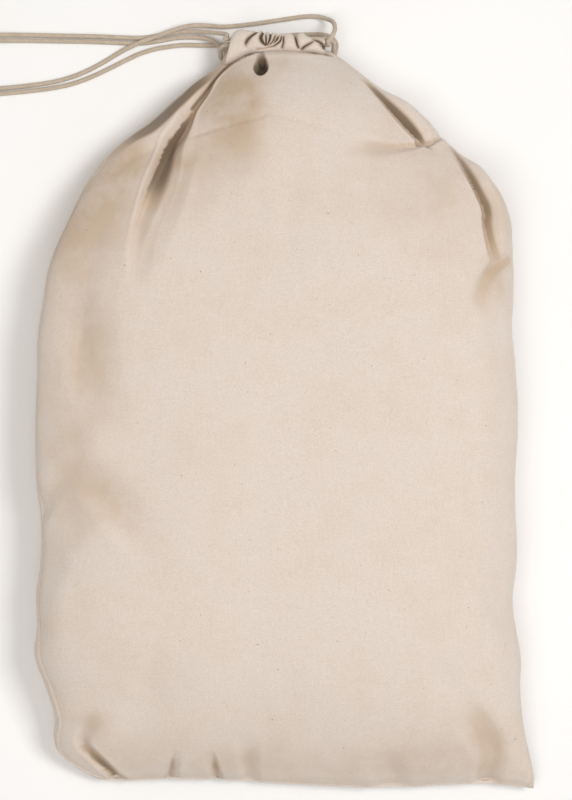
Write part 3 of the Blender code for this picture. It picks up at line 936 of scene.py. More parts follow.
def restore_width(grid):
    """Each row stretched sideways: its ends go back on the outline, which the simulation drew in."""
    y = np.median(grid[..., 1], axis=1)
    low, high = grid[..., 0].min(axis=1), grid[..., 0].max(axis=1)
    share = (grid[..., 0] - low[:, None]) / (high - low)[:, None]
    kernel = np.hanning(31) / np.hanning(31).sum()
    ends = []
    for side, edge in ((low, LEFT_EDGE), (high, RIGHT_EDGE)):
        gap = table(edge, y) - side
        ends.append(side + np.convolve(np.pad(gap, 15, "edge"), kernel, "valid"))
    grid[..., 0] = ends[0][:, None] + share * (ends[1] - ends[0])[:, None]
    return grid


def normals(grid, closed=False):
    """Outward directions of a grid, whose rows may close into rings."""
    across = np.roll(grid, -1, 1) - np.roll(grid, 1, 1) if closed else np.gradient(grid, axis=1)
    n = np.cross(np.gradient(grid, axis=0), across)
    return n / np.maximum(np.linalg.norm(n, axis=-1, keepdims=True), 1e-12)


def unevenness(grid):
    """The cloth's own small rises and dips, all over but for its two ends."""
    shift = np.zeros(grid.shape[:2])
    for size, height in MOTTLE:
        places = grid / size + np.array((3.1, 1.7, SEED))
        shift += height * np.array([noise.noise(p) for p in places.reshape(-1, 3)]).reshape(shift.shape)
    row = np.arange(len(grid))
    quiet = smooth(row, 0, 12) * smooth(row[::-1], 0, 8)
    return grid + normals(grid, closed=True) * (shift * quiet[:, None])[..., None]


def places_every(lengths, steps):
    """Fractional places of new points, steps apart, on a line whose points are lengths apart."""
    count = np.concatenate(([0], np.cumsum(lengths / steps)))
    return np.interp(np.linspace(0, count[-1], round(count[-1]) + 1), count, np.arange(len(count)))


def row_places(grid):
    """Rows close together where the cloth folds and further apart between."""
    y = np.median(grid[..., 1], axis=1)
    steps = np.where((y > FINE_ABOVE) | (y < FINE_BELOW), FINE_STEP, COARSE_STEP)
    return places_every(np.diff(y), steps[1:])


def column_places(grid):
    """The same for the front's columns."""
    lengths = np.linalg.norm(np.diff(grid[len(grid) // 2], axis=0), axis=1)
    share = np.arange(len(lengths)) / len(lengths)
    folded = np.any([(share > low) & (share < high) for low, high in FOLDED], axis=0)
    return places_every(lengths, np.where(folded, FINE_COLUMN, COARSE_COLUMN))


bag_grid = bag_points
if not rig.quick():
    moved = capped(bag_points, simulate(bag_data, bag_points), SIM_CAP)
    y = bag_points[..., 1]
    neck = smooth(y, 0.17, 0.24) * (1 - smooth(np.abs(bag_points[..., 0]), 0.10, 0.14))
    foot = 1 - smooth(y, -0.33, -0.20)
    calm = np.maximum(NECK_CALM * neck, FOOT_CALM * foot)
    bag_grid = bag_points + softened((moved - bag_points) * (1 - calm)[..., None], 2)
    bag_grid = restore_width(bag_grid)
bag_grid = unevenness(finer(finer(bag_grid, 0, False), 1, True))
bag_grid = finer(finer(bag_grid, 0, False), 1, True)
ROW_AT = row_places(bag_grid)
bag_grid = resample(bag_grid, 0, ROW_AT)
front_grid = bag_grid[:, : 4 * FRONT_COLUMNS + 1]
COLUMN_AT = column_places(front_grid)
front_grid = resample(front_grid, 1, COLUMN_AT)
back_grid = np.concatenate((bag_grid[:, 4 * FRONT_COLUMNS :], bag_grid[:, :1]), axis=1)
back_grid = resample(back_grid, 1, np.linspace(0, 4 * BACK_COLUMNS, FINE_BACK))
ROW_SHARE, COLUMN_SHARE = ROW_AT / ROW_AT[-1], COLUMN_AT / COLUMN_AT[-1]

# ---------------------------------------------------------------- folds laid into the cloth one by one

# A fold: rows of X, Y, depth, and the widths of its left and right walls, looking along it. A crest has a
# negative depth.
FOLDS = (
    (  # left shoulder: the filled front stands over a pleat that runs down from the hem
        (-0.0243, 0.3412, 0.002, 0.003, 0.006), (-0.032, 0.3392, 0.005, 0.003, 0.007),
        (-0.0457, 0.3328, 0.008, 0.003, 0.008), (-0.0563, 0.3247, 0.01, 0.003, 0.008),
        (-0.067, 0.3125, 0.011, 0.003, 0.008), (-0.0762, 0.2988, 0.012, 0.004, 0.009),
        (-0.0873, 0.284, 0.013, 0.005, 0.008), (-0.0985, 0.267, 0.015, 0.011, 0.006),
        (-0.111, 0.25, 0.016, 0.017, 0.006), (-0.1188, 0.2309, 0.016, 0.022, 0.006),
        (-0.1267, 0.2119, 0.014, 0.025, 0.006), (-0.133, 0.19, 0.01, 0.023, 0.006),
        (-0.1371, 0.165, 0.005, 0.018, 0.008), (-0.1378, 0.14, 0.003, 0.015, 0.01),
        (-0.1362, 0.115, 0.0, 0.014, 0.011),
    ),
    (  # left shoulder: the crest outside that pleat
        (-0.06, 0.328, -0.001, 0.008, 0.01), (-0.0652, 0.3208, -0.003, 0.008, 0.01),
        (-0.0841, 0.2988, -0.006, 0.01, 0.011), (-0.0968, 0.2846, -0.006, 0.012, 0.012),
        (-0.1188, 0.2635, -0.006, 0.013, 0.013), (-0.1378, 0.253, -0.005, 0.013, 0.013),
        (-0.1551, 0.2403, -0.003, 0.01, 0.012), (-0.168, 0.23, 0.0, 0.01, 0.012),
    ),
    (  # left shoulder: a second, soft pleat inside the first
        (-0.09, 0.248, 0.0, 0.01, 0.01), (-0.096, 0.23, 0.003, 0.011, 0.01),
        (-0.101, 0.208, 0.004, 0.012, 0.01), (-0.112, 0.182, 0.003, 0.014, 0.01),
        (-0.124, 0.15, 0.002, 0.014, 0.01), (-0.13, 0.125, 0.0, 0.014, 0.01),
    ),
    (  # a broad crest down from the hem, with a shaded slope to its left
        (-0.02, 0.33, -0.001, 0.09, 0.04), (-0.0205, 0.312, -0.006, 0.1, 0.05),
        (-0.02, 0.285, -0.011, 0.11, 0.062), (-0.0215, 0.256, -0.012, 0.11, 0.066),
        (-0.03, 0.215, -0.007, 0.1, 0.066), (-0.042, 0.17, 0.0, 0.09, 0.06),
    ),
    (  # right shoulder: the front lies over a tuck
        (0.07, 0.316, 0.0, 0.006, 0.0022), (0.0796, 0.3059, 0.006, 0.007, 0.0022),
        (0.0921, 0.2909, 0.012, 0.01, 0.0024), (0.1096, 0.2709, 0.014, 0.012, 0.0032),
        (0.122, 0.258, 0.013, 0.012, 0.0034), (0.1283, 0.2523, 0.01, 0.01, 0.0034),
        (0.133, 0.25, 0.005, 0.008, 0.003), (0.139, 0.2475, 0.0, 0.007, 0.003),
    ),
    (  # the crest beside it, at the outline
        (0.085, 0.312, 0.0, 0.01, 0.01), (0.098, 0.299, -0.004, 0.01, 0.01),
        (0.113, 0.284, -0.007, 0.011, 0.011), (0.129, 0.269, -0.006, 0.011, 0.011),
        (0.144, 0.256, -0.003, 0.01, 0.01), (0.153, 0.248, 0.0, 0.01, 0.01),
    ),
    (  # the tuck's lower end, a short crease across it
        (0.127, 0.2515, 0.004, 0.005, 0.003), (0.133, 0.2518, 0.007, 0.007, 0.0025),
        (0.14, 0.2535, 0.006, 0.007, 0.0025), (0.149, 0.259, 0.002, 0.006, 0.0025),
    ),
    (  # a crease that runs inwards from it
        (0.129, 0.2515, 0.005, 0.004, 0.003), (0.114, 0.249, 0.0036, 0.006, 0.004),
        (0.0995, 0.2483, 0.0028, 0.009, 0.005), (0.0791, 0.2496, 0.002, 0.014, 0.008),
        (0.064, 0.252, 0.001, 0.016, 0.01), (0.05, 0.257, 0.0, 0.016, 0.01),
    ),
    (  # right side: the second tuck, lower down
        (0.153, 0.252, 0.0, 0.005, 0.0022), (0.1595, 0.2434, 0.005, 0.007, 0.003),
        (0.172, 0.221, 0.01, 0.009, 0.0036), (0.1819, 0.201, 0.011, 0.01, 0.004),
        (0.1872, 0.1885, 0.012, 0.01, 0.0044), (0.1885, 0.174, 0.011, 0.01, 0.0052),
        (0.192, 0.1586, 0.009, 0.009, 0.006), (0.197, 0.145, 0.006, 0.009, 0.008),
        (0.199, 0.137, 0.0, 0.009, 0.008),
    ),
    (  # the crest beside it
        (0.168, 0.244, 0.0, 0.008, 0.008), (0.179, 0.227, -0.004, 0.009, 0.008),
        (0.19, 0.206, -0.006, 0.01, 0.008), (0.1985, 0.184, -0.006, 0.011, 0.008),
        (0.203, 0.165, -0.003, 0.01, 0.008), (0.205, 0.152, 0.0, 0.01, 0.008),
    ),
    (  # the soft hollow under that tuck
        (0.215, 0.15, 0.0, 0.008, 0.006), (0.2094, 0.142, 0.004, 0.01, 0.008),
        (0.1975, 0.133, 0.007, 0.012, 0.009), (0.1857, 0.118, 0.006, 0.013, 0.01),
        (0.1815, 0.103, 0.003, 0.014, 0.012), (0.179, 0.09, 0.0, 0.014, 0.012),
    ),
    (  # a faint pressed crease across the top
        (-0.103, 0.253, 0.0, 0.003, 0.002), (-0.0848, 0.2573, 0.001, 0.004, 0.0022),
        (-0.066, 0.2614, 0.0012, 0.004, 0.0022), (-0.0227, 0.2704, 0.001, 0.004, 0.0024),
        (-0.0128, 0.2742, 0.0006, 0.004, 0.0024), (0.0421, 0.2609, 0.0005, 0.006, 0.004),
        (0.064, 0.253, 0.0, 0.006, 0.004),
    ),
    (  # left foot: a tuck round a small bulge
        (-0.174, -0.283, 0.0, 0.01, 0.01), (-0.185, -0.296, 0.002, 0.01, 0.01),
        (-0.192, -0.31, 0.004, 0.009, 0.008), (-0.19, -0.32, 0.006, 0.008, 0.006),
        (-0.18, -0.331, 0.008, 0.008, 0.006), (-0.169, -0.343, 0.008, 0.008, 0.006),
        (-0.16, -0.354, 0.005, 0.008, 0.006),
    ),
    (  # puckers along the foot
        (-0.104, -0.32, 0.0, 0.008, 0.003), (-0.1065, -0.33, 0.003, 0.008, 0.003),
        (-0.1085, -0.34, 0.005, 0.008, 0.003), (-0.111, -0.351, 0.004, 0.008, 0.003),
    ),
    (
        (-0.07, -0.322, 0.0, 0.004, 0.008), (-0.068, -0.33, 0.003, 0.004, 0.009),
        (-0.066, -0.34, 0.005, 0.004, 0.01), (-0.064, -0.351, 0.004, 0.004, 0.01),
    ),
    (
        (-0.038, -0.3, 0.0, 0.012, 0.012), (-0.0365, -0.318, 0.002, 0.012, 0.012),
        (-0.035, -0.336, 0.004, 0.011, 0.011), (-0.034, -0.353, 0.003, 0.01, 0.01),
    ),
    (
        (0.093, -0.32, 0.0, 0.018, 0.022), (0.099, -0.335, 0.003, 0.018, 0.024),
        (0.104, -0.352, 0.004, 0.018, 0.024),
    ),
    (  # right foot: the hollow beside the corner
        (0.158, -0.27, 0.0, 0.02, 0.022), (0.176, -0.288, 0.003, 0.02, 0.022),
        (0.189, -0.308, 0.006, 0.019, 0.02), (0.195, -0.328, 0.007, 0.017, 0.018),
        (0.1925, -0.353, 0.005, 0.014, 0.016),
    ),
    (  # left side: a soft diagonal fold and the notch that it starts from
        (-0.23, -0.098, 0.004, 0.01, 0.01), (-0.214, -0.07, 0.003, 0.016, 0.014),
        (-0.193, -0.06, 0.003, 0.024, 0.018), (-0.168, -0.08, 0.004, 0.028, 0.018),
        (-0.145, -0.108, 0.003, 0.03, 0.018), (-0.12, -0.14, 0.0, 0.03, 0.018),
    ),
    (  # left side: the soft hollow inside the seam
        (-0.17, 0.195, 0.0, 0.03, 0.024), (-0.183, 0.15, 0.002, 0.034, 0.024),
        (-0.19, 0.09, 0.004, 0.036, 0.024), (-0.185, 0.045, 0.005, 0.034, 0.024),
        (-0.176, 0.01, 0.003, 0.032, 0.024), (-0.17, -0.02, 0.0, 0.03, 0.024),
    ),
    (  # left side: the crest that the seam makes
        (-0.165, 0.228, 0.0, 0.026, 0.01), (-0.19, 0.193, -0.003, 0.028, 0.01),
        (-0.212, 0.14, -0.005, 0.03, 0.01), (-0.224, 0.07, -0.005, 0.032, 0.01),
        (-0.227, 0.0, -0.005, 0.032, 0.01), (-0.226, -0.06, -0.004, 0.03, 0.01),
        (-0.224, -0.12, -0.003, 0.03, 0.01), (-0.226, -0.19, -0.002, 0.03, 0.01),
        (-0.225, -0.26, 0.0, 0.03, 0.01),
    ),
)
LIP = 0.07  # share of a fold's depth that its edges stand up by
ROUND_MOST = 0.0045  # radius of the bottom of a wide fold
DENT = {"at": (-0.0232, 0.3262), "across": 0.0069, "along": 0.0138, "depth": 0.0170}
# Where shade is painted dark into the cloth, deep in a fold or out of the light: rows of X, Y, amount, and reach
# to the left and to the right.
SHADES = (
    (  # along the front's edge at the left shoulder
        (-0.019, 0.3425, 0.45, 0.001, 0.0016), (-0.032, 0.3392, 0.75, 0.001, 0.0022),
        (-0.0563, 0.3247, 0.8, 0.001, 0.003), (-0.0762, 0.2988, 0.8, 0.0015, 0.0034),
        (-0.0873, 0.284, 0.8, 0.002, 0.0036),
    ),
    (  # the inner wall of the left pleat
        (-0.09, 0.279, 0.6, 0.004, 0.001), (-0.0985, 0.267, 0.85, 0.008, 0.001),
        (-0.111, 0.25, 0.9, 0.014, 0.001), (-0.1188, 0.2309, 0.85, 0.02, 0.001),
        (-0.1267, 0.2119, 0.75, 0.023, 0.0012), (-0.131, 0.195, 0.4, 0.02, 0.002),
        (-0.134, 0.18, 0.0, 0.016, 0.002),
    ),
    (  # the outer wall of the crest beside it
        (-0.064, 0.324, 0.3, 0.004, 0.004), (-0.076, 0.313, 0.75, 0.0055, 0.005),
        (-0.0878, 0.3025, 0.85, 0.0065, 0.006), (-0.1015, 0.2893, 0.85, 0.008, 0.0075),
        (-0.1241, 0.2678, 0.8, 0.0085, 0.008), (-0.1415, 0.2567, 0.7, 0.0065, 0.006),
        (-0.157, 0.2445, 0.35, 0.0045, 0.0045), (-0.168, 0.234, 0.0, 0.004, 0.004),
    ),
    (  # the first tuck at the right
        (0.07, 0.316, 0.0, 0.004, 0.0008), (0.0796, 0.3059, 0.65, 0.006, 0.0008),
        (0.0921, 0.2909, 0.82, 0.009, 0.0008), (0.1096, 0.2709, 0.85, 0.012, 0.001),
        (0.122, 0.258, 0.85, 0.0095, 0.001), (0.1283, 0.2523, 0.7, 0.006, 0.0012),
        (0.133, 0.25, 0.3, 0.004, 0.001),
    ),
    (  # the crease across its lower end
        (0.1283, 0.2515, 0.4, 0.0026, 0.0022), (0.138, 0.253, 0.48, 0.0026, 0.0022),
        (0.1482, 0.2585, 0.32, 0.0024, 0.002),
    ),
    (  # the crease inwards
        (0.1283, 0.2512, 0.42, 0.0026, 0.0024), (0.11, 0.2488, 0.35, 0.0022, 0.0022),
        (0.09, 0.2487, 0.25, 0.004, 0.003), (0.0721, 0.251, 0.12, 0.005, 0.004),
        (0.06, 0.253, 0.0, 0.005, 0.004),
    ),
    (  # the second tuck, and the hollow under it
        (0.153, 0.252, 0.0, 0.003, 0.0008), (0.1595, 0.2434, 0.6, 0.005, 0.0008),
        (0.172, 0.221, 0.78, 0.008, 0.002), (0.1819, 0.201, 0.75, 0.0085, 0.0022),
        (0.1874, 0.1885, 0.75, 0.009, 0.0024), (0.1885, 0.174, 0.66, 0.008, 0.0028),
        (0.192, 0.1586, 0.6, 0.007, 0.003), (0.1975, 0.144, 0.45, 0.006, 0.005),
    ),
    (
        (0.2094, 0.1411, 0.4, 0.005, 0.005), (0.1975, 0.133, 0.45, 0.008, 0.006),
        (0.188, 0.121, 0.35, 0.008, 0.007), (0.1819, 0.1037, 0.15, 0.008, 0.008),
        (0.179, 0.092, 0.0, 0.008, 0.008),
    ),
    (  # under the hem, at its right
        (0.012, 0.3392, 0.5, 0.0012, 0.0012), (0.028, 0.3382, 0.85, 0.0013, 0.0013),
        (0.044, 0.3362, 0.8, 0.0012, 0.0012),
    ),
    (  # the tuck and the puckers at the foot
        (-0.1918, -0.3187, 0.4, 0.0045, 0.0045), (-0.18, -0.33, 0.7, 0.005, 0.004),
        (-0.168, -0.343, 0.75, 0.0055, 0.004), (-0.16, -0.353, 0.7, 0.005, 0.004),
    ),
    (
        (-0.106, -0.324, 0.0, 0.002, 0.002), (-0.1075, -0.333, 0.45, 0.0045, 0.0015),
        (-0.1085, -0.34, 0.55, 0.005, 0.0018), (-0.11, -0.35, 0.4, 0.004, 0.002),
    ),
    (
        (-0.069, -0.327, 0.0, 0.002, 0.002), (-0.0669, -0.336, 0.5, 0.003, 0.005),
        (-0.065, -0.345, 0.4, 0.0035, 0.006),
    ),
    (
        (-0.0354, -0.318, 0.0, 0.007, 0.007), (-0.0354, -0.33, 0.2, 0.007, 0.007),
        (-0.034, -0.345, 0.16, 0.007, 0.007),
    ),
    (
        (0.165, -0.276, 0.0, 0.014, 0.014), (0.178, -0.2858, 0.18, 0.014, 0.014),
        (0.1905, -0.306, 0.28, 0.015, 0.014), (0.1944, -0.3268, 0.28, 0.015, 0.013),
        (0.1889, -0.348, 0.24, 0.013, 0.011),
    ),
)
# Brown patches, partly browning from handling and partly painted shade: X, Y, reach each way, amount.
WORN_AND_SHADE = (
    (-0.05, 0.262, 0.034, 0.046, 0.66), (-0.034, 0.29, 0.012, 0.03, 0.35),
    (-0.054, 0.303, 0.028, 0.028, 0.66), (-0.094, 0.226, 0.026, 0.03, 0.5),
    (-0.14, 0.236, 0.018, 0.024, 0.35), (-0.188, 0.055, 0.028, 0.054, 0.28),
    (-0.2, -0.03, 0.022, 0.05, 0.3), (-0.165, -0.08, 0.034, 0.026, 0.4), (-0.205, 0.15, 0.022, 0.06, 0.4),
    (-0.152, 0.218, 0.024, 0.044, 0.64), (-0.182, 0.182, 0.026, 0.045, 0.55),
    (0.0, -0.335, 0.24, 0.028, 0.26), (0.155, -0.31, 0.055, 0.03, 0.22),
    (-0.181, -0.294, 0.014, 0.012, 0.4), (0.194, 0.118, 0.014, 0.026, 0.5),
    (0.1, 0.243, 0.045, 0.008, 0.25), (0.203, 0.2, 0.012, 0.06, 0.32), (0.14, 0.2, 0.045, 0.055, 0.3),
    (-0.005, 0.33, 0.012, 0.01, 0.45),
)


def near_rows(rows, x, y, used):
    """Which points are within reach of a path, their distance from it, and the path's columns there."""
    path = curve_points(rows)
    reach = 2.4 * path[:, 3:].max()
    near = used & (x > path[:, 0].min() - reach) & (x < path[:, 0].max() + reach)
    near &= (y > path[:, 1].min() - reach) & (y < path[:, 1].max() + reach)
    d, extra = beside(path, x[near], y[near])
    return near, d, extra.T


def fold_shift(grid, facing):
    """How far every point of the front moves in or out for the folds."""
    x, y = grid[..., 0], grid[..., 1]
    shift = np.zeros(x.shape)
    for fold in FOLDS:
        near, d, (depth, left, right) = near_rows(fold, x, y, facing > 0)
        wide = np.where(d >= 0, left, right)
        rounding = np.minimum(0.3 * np.minimum(left, right), ROUND_MOST)
        q = np.clip((np.hypot(d, rounding) - rounding) / (np.hypot(wide, rounding) - rounding), 0, 4)
        wall = np.where(q < 1, np.clip(1 - q, 0, 1) ** 1.35 * (1 + 0.6 * q), 0)
        shift[near] -= depth * (wall - LIP * np.exp(-(((q - 1.25) / 0.4) ** 2)))
    return shift * facing


def shade_amounts(grid, facing):
    """How much shade is painted at every point that faces up, from SHADES."""
    x, y = grid[..., 0], grid[..., 1]
    amount = np.zeros(x.shape)
    for rows in SHADES:
        near, d, (strength, left, right) = near_rows(rows, x, y, facing > 0)
        fade = 1 - smooth(np.abs(d) / np.where(d >= 0, left, right), 0.45, 1.0)
        amount[near] = np.maximum(amount[near], strength * fade)
    return amount


def dent_share(grid):
    """The deep dent under the hem, narrow at the top and round at the bottom: 1 in it and 0 outside."""
    x = (grid[..., 0] - DENT["at"][0]) / DENT["across"]
    y = (grid[..., 1] - DENT["at"][1]) / DENT["along"]
    x = x / (1 - 0.42 * np.clip(y, -0.3, 1.0))
    return 1 - smooth(np.hypot(x, y), 0.72, 1.06)


def worn_and_shade_amounts(grid, shift):
    """How brown the cloth is painted at every point: worn places that are partly painted shade, and painted shade down
    in its folds.
    """
    amount = 0.55 * np.clip(-shift / 0.012, 0, 1)
    for x, y, across, along, share in WORN_AND_SHADE:
        sideways, lengthways = (grid[..., 0] - x) / across, (grid[..., 1] - y) / along
        amount += share * np.exp(-(sideways**2) - lengthways**2)
    return np.clip(amount, 0, 0.9)


outward = normals(front_grid)
column = np.arange(len(COLUMN_AT))
from_seams = smooth(np.minimum(column, column[::-1]), 0, 5)
facing = smooth(outward[..., 2], -0.1, 0.35) * from_seams
folded, dented = fold_shift(front_grid, facing), dent_share(front_grid) * facing
shift = folded - DENT["depth"] * dented
front_grid = front_grid + outward * shift[..., None]
# Painted brown, for wear and for shade.
front_worn_and_shade = worn_and_shade_amounts(front_grid, shift)
# Painted shade: dark deep in the folds, inside the dent, and along the paths of SHADES.
front_painted_shade = 0.25 * np.clip(-folded / 0.014, 0, 1) ** 2 + 0.86 * smooth(dented, 0.03, 0.30)
front_painted_shade = np.maximum(front_painted_shade, shade_amounts(front_grid, facing))
for grid in (front_grid, back_grid):
    grid[..., 2] = np.maximum(grid[..., 2], FLOOR_CLEAR)

# ---------------------------------------------------------------- front and back

across, along = FLAT_WIDTH * COLUMN_SHARE, FLAT_LENGTH * ROW_SHARE
front = grid_piece("front_cloth", front_grid, across, along, CLOTH)
mark(front, "worn_and_shade", front_worn_and_shade)
mark(front, "painted_shade", np.clip(front_painted_shade, 0, 0.93))
back = grid_piece("back_cloth", back_grid, np.linspace(0, FLAT_WIDTH, FINE_BACK), along, CLOTH)
# The back's edges get the same painted brown and painted shade as the front.
mark(back, "worn_and_shade", worn_and_shade_amounts(back_grid, np.zeros(back_grid.shape[:2])))
mark(back, "painted_shade", shade_amounts(back_grid, normals(back_grid)[..., 2]))
settle(front, "bag", "front_panel", "front_panel")
settle(back, "bag", "back_panel", "back_panel")

# ---------------------------------------------------------------- hems, gathered on the cords

HEM_COLUMNS, HEM_SIDES = 480, 96
HEM_POWER = 2.5
HEM_PUFF = 0.0013  # how far the cloth swells between two pleats
HEM_WANDER = 0.0007  # how far a pleat strays sideways
HEM_WALL = 0.0007  # thickness of its cloth
HEM_END = 0.005  # its ends draw in over this length
HEM_LEAN = 0.018  # and its left end leans over this
PUFF_REACH = 0.0026  # from a pleat to where the swelling is full
FRONT_HEM = {
    "x": (-0.0540, 0.0376),
    "z": (0.0360, 0.0108),
    "slant": 0.0035,  # how far its left end leans
    "top": (
        (-0.056, 0.3572), (-0.05, 0.36), (-0.0418, 0.3614), (-0.035, 0.36), (-0.0289, 0.3604),
        (-0.0235, 0.3611), (-0.019, 0.3592), (-0.0127, 0.3587), (-0.007, 0.3574), (0.0049, 0.3574),
        (0.0097, 0.3558), (0.0144, 0.3584), (0.02, 0.3552), (0.025, 0.3531), (0.032, 0.3534),
        (0.0385, 0.3516),
    ),
    "bottom": (
        (-0.056, 0.325), (-0.05, 0.3296), (-0.0444, 0.3334), (-0.038, 0.3378), (-0.0262, 0.3396),
        (0.0151, 0.34), (0.0385, 0.3378),
    ),
    # Each pleat: rows of X, Y, half its width and its depth. Most fan out of one place.
    "pleats": (
        (
            (-0.0243, 0.3622, 0.0012, 0.004), (-0.029, 0.3585, 0.0014, 0.005),
            (-0.0335, 0.3545, 0.0013, 0.005), (-0.0368, 0.349, 0.0016, 0.0044),
            (-0.0377, 0.345, 0.0014, 0.0016),
        ),
        (
            (-0.0203, 0.3612, 0.0012, 0.0046), (-0.0222, 0.357, 0.0016, 0.0056),
            (-0.0236, 0.3535, 0.0018, 0.0058), (-0.0222, 0.349, 0.0016, 0.0056),
            (-0.0193, 0.3458, 0.0012, 0.0046),
        ),
        (
            (-0.0184, 0.3565, 0.0007, 0.0034), (-0.0183, 0.351, 0.0009, 0.0046),
            (-0.0186, 0.3462, 0.0009, 0.0044),
        ),
        (
            (-0.014, 0.3595, 0.0011, 0.0046), (-0.0145, 0.354, 0.0011, 0.0052),
            (-0.0158, 0.349, 0.0009, 0.0046), (-0.018, 0.3458, 0.0009, 0.0036),
        ),
        (
            (-0.0093, 0.356, 0.0008, 0.0034), (-0.011, 0.3515, 0.0009, 0.004),
            (-0.014, 0.3472, 0.0008, 0.0034), (-0.0175, 0.345, 0.0008, 0.0026),
        ),
        (
            (-0.0068, 0.355, 0.001, 0.0038), (-0.0086, 0.351, 0.0012, 0.0042),
            (-0.012, 0.347, 0.0008, 0.0022),
        ),
        (
            (-0.0038, 0.3552, 0.0009, 0.0038), (-0.0048, 0.351, 0.001, 0.0044),
            (-0.0075, 0.3475, 0.001, 0.0042), (-0.0113, 0.3448, 0.0009, 0.0034),
            (-0.019, 0.3428, 0.0008, 0.0024), (-0.0262, 0.3414, 0.0008, 0.0016),
        ),
        (
            (-0.0018, 0.3545, 0.0010, 0.0038), (-0.0022, 0.3490, 0.0011, 0.0036),
            (-0.0032, 0.3430, 0.0010, 0.0034),
        ),
        (
            (0.0080, 0.3570, 0.0010, 0.0036), (0.0100, 0.3500, 0.0012, 0.0044),
            (0.0124, 0.3430, 0.0010, 0.0038),
        ),
        (
            (0.0255, 0.3498, 0.0012, 0.0032), (0.0200, 0.3455, 0.0013, 0.0042),
            (0.0152, 0.3418, 0.0012, 0.0040),
        ),
        (
            (0.0262, 0.3524, 0.001, 0.0034), (0.031, 0.35, 0.0018, 0.0046), (0.0345, 0.346, 0.0022, 0.0056),
            (0.0372, 0.3418, 0.0016, 0.0046),
        ),
    ),
}
BACK_HEM = {
    "x": (-0.0510, 0.0350),
    "z": (0.0098, 0.0092),
    "slant": 0.0,
    "top": ((-0.0510, 0.3482), (0.0350, 0.3482)),
    "bottom": ((-0.0510, 0.3262), (0.0350, 0.3262)),
}


def plain_pleats(form, spacing, depth):
    """Pleats across a hem, a spacing apart, each a little out of line."""
    random.seed(SEED)
    rows = []
    for x in np.arange(form["x"][0] + spacing / 2, form["x"][1], spacing):
        width = random.uniform(0.0012, 0.0026)
        ends = [form[end][0][1] for end in ("bottom", "top")]
        rows.append([(x + random.uniform(-0.002, 0.002), y, width, depth) for y in ends])
    return rows


BACK_HEM["pleats"] = plain_pleats(BACK_HEM, 0.0052, 0.0036)


def hem(name, form, seed):
    """A gathered hem: a sleeve of cloth that stands in pleats. Also its points, [along, round, xyz]."""
    x = np.linspace(*form["x"], HEM_COLUMNS + 1)[:, None]
    turn = np.arange(HEM_SIDES) / HEM_SIDES * 2 * math.pi
    across = np.sign(np.cos(turn)) * np.abs(np.cos(turn)) ** (2 / HEM_POWER)
    up = np.sign(np.sin(turn)) * np.abs(np.sin(turn)) ** (2 / HEM_POWER)
    high = (1 + across) / 2
    top, bottom = table(form["top"], x), table(form["bottom"], x)
    wander = [[noise.noise((a * 150, 2 * b + c, seed)) for b, c in zip(high, up)] for a in x[:, 0]]
    wander = HEM_WANDER * np.array(wander)
    middle, half = (top + bottom) / 2, (top - bottom) / 2
    sink = np.zeros((len(x), HEM_SIDES))
    near = np.full(sink.shape, 1.0)
    for rows in form["pleats"]:
        gap, extra = beside(curve_points(rows), x + wander, middle + half * across)
        gap, (width, depth) = np.abs(gap), np.moveaxis(extra, -1, 0)
        sink = np.maximum(sink, depth * np.exp(-((gap / width) ** 1.5)))
        near = np.minimum(near, gap)
    over = 0.4 + 0.6 * smooth(up, -0.5, 0.3)
    swell = HEM_PUFF * (1 - np.exp(-((near / PUFF_REACH) ** 2)))
    out = (swell - sink) * over
    to_end = np.minimum(x - x[0], x[-1] - x)
    end = 0.86 + 0.14 * np.sqrt(np.clip(to_end / HEM_END, 0, 1))
    lean = form["slant"] * across * (1 - smooth(x, form["x"][0], form["x"][0] + HEM_LEAN))
    points = np.stack(
        (
            x + lean,
            middle + (half + 0.55 * out) * across * end,
            form["z"][0] + (form["z"][1] + out) * up * end,
        ),
        axis=-1,
    )
    u, v = np.meshgrid(np.linspace(0, 0.06, HEM_SIDES), np.linspace(0, FLAT_WIDTH, HEM_COLUMNS + 1))
    faces = [tuple(reversed(f)) for f in grid_faces(HEM_COLUMNS + 1, HEM_SIDES, closed=True)]
    made = piece(name, points.reshape(-1, 3), faces, HEM_CLOTH, np.stack((v, u), axis=-1).reshape(-1, 2))
    # Painted shade down in the pleats, brown and then dark where they sink deepest.
    mark(made, "worn_and_shade", np.clip(sink / 0.0045, 0, 1) * 0.5)
    mark(made, "painted_shade", np.clip(sink / 0.0032, 0, 1) ** 1.3 * 0.95)
    wall = made.modifiers.new("wall", "SOLIDIFY")
    wall.thickness = HEM_WALL
    wall.offset = -1
    return made, points


front_hem, front_hem_grid = hem("front_hem", FRONT_HEM, 1.0)
back_hem, back_hem_grid = hem("back_hem", BACK_HEM, 5.0)
settle(front_hem, "bag", "front_casing", "front_casing")
settle(back_hem, "bag", "back_casing", "back_casing")

# ---------------------------------------------------------------- seams, stitches and tacks

STITCH, STITCH_GAP, STITCH_RADIUS = 0.0026, 0.0008, 0.00032
SEAM_ROW = 0.0050  # a seam's row of stitches, in from its edge
# A seam's band, in section: distance in from the edge over the front, and height above the cloth.
BAND = (
    (0.007, -0.0002), (0.0066, 0.0005), (0.0058, 0.0009), (0.004, 0.0007), (0.0022, 0.0008),
    (0.0007, 0.0011), (-0.0006, 0.001), (-0.0016, 0.0006), (-0.0022, -0.0002), (-0.0005, -0.0004),
    (0.0035, -0.0004),
)


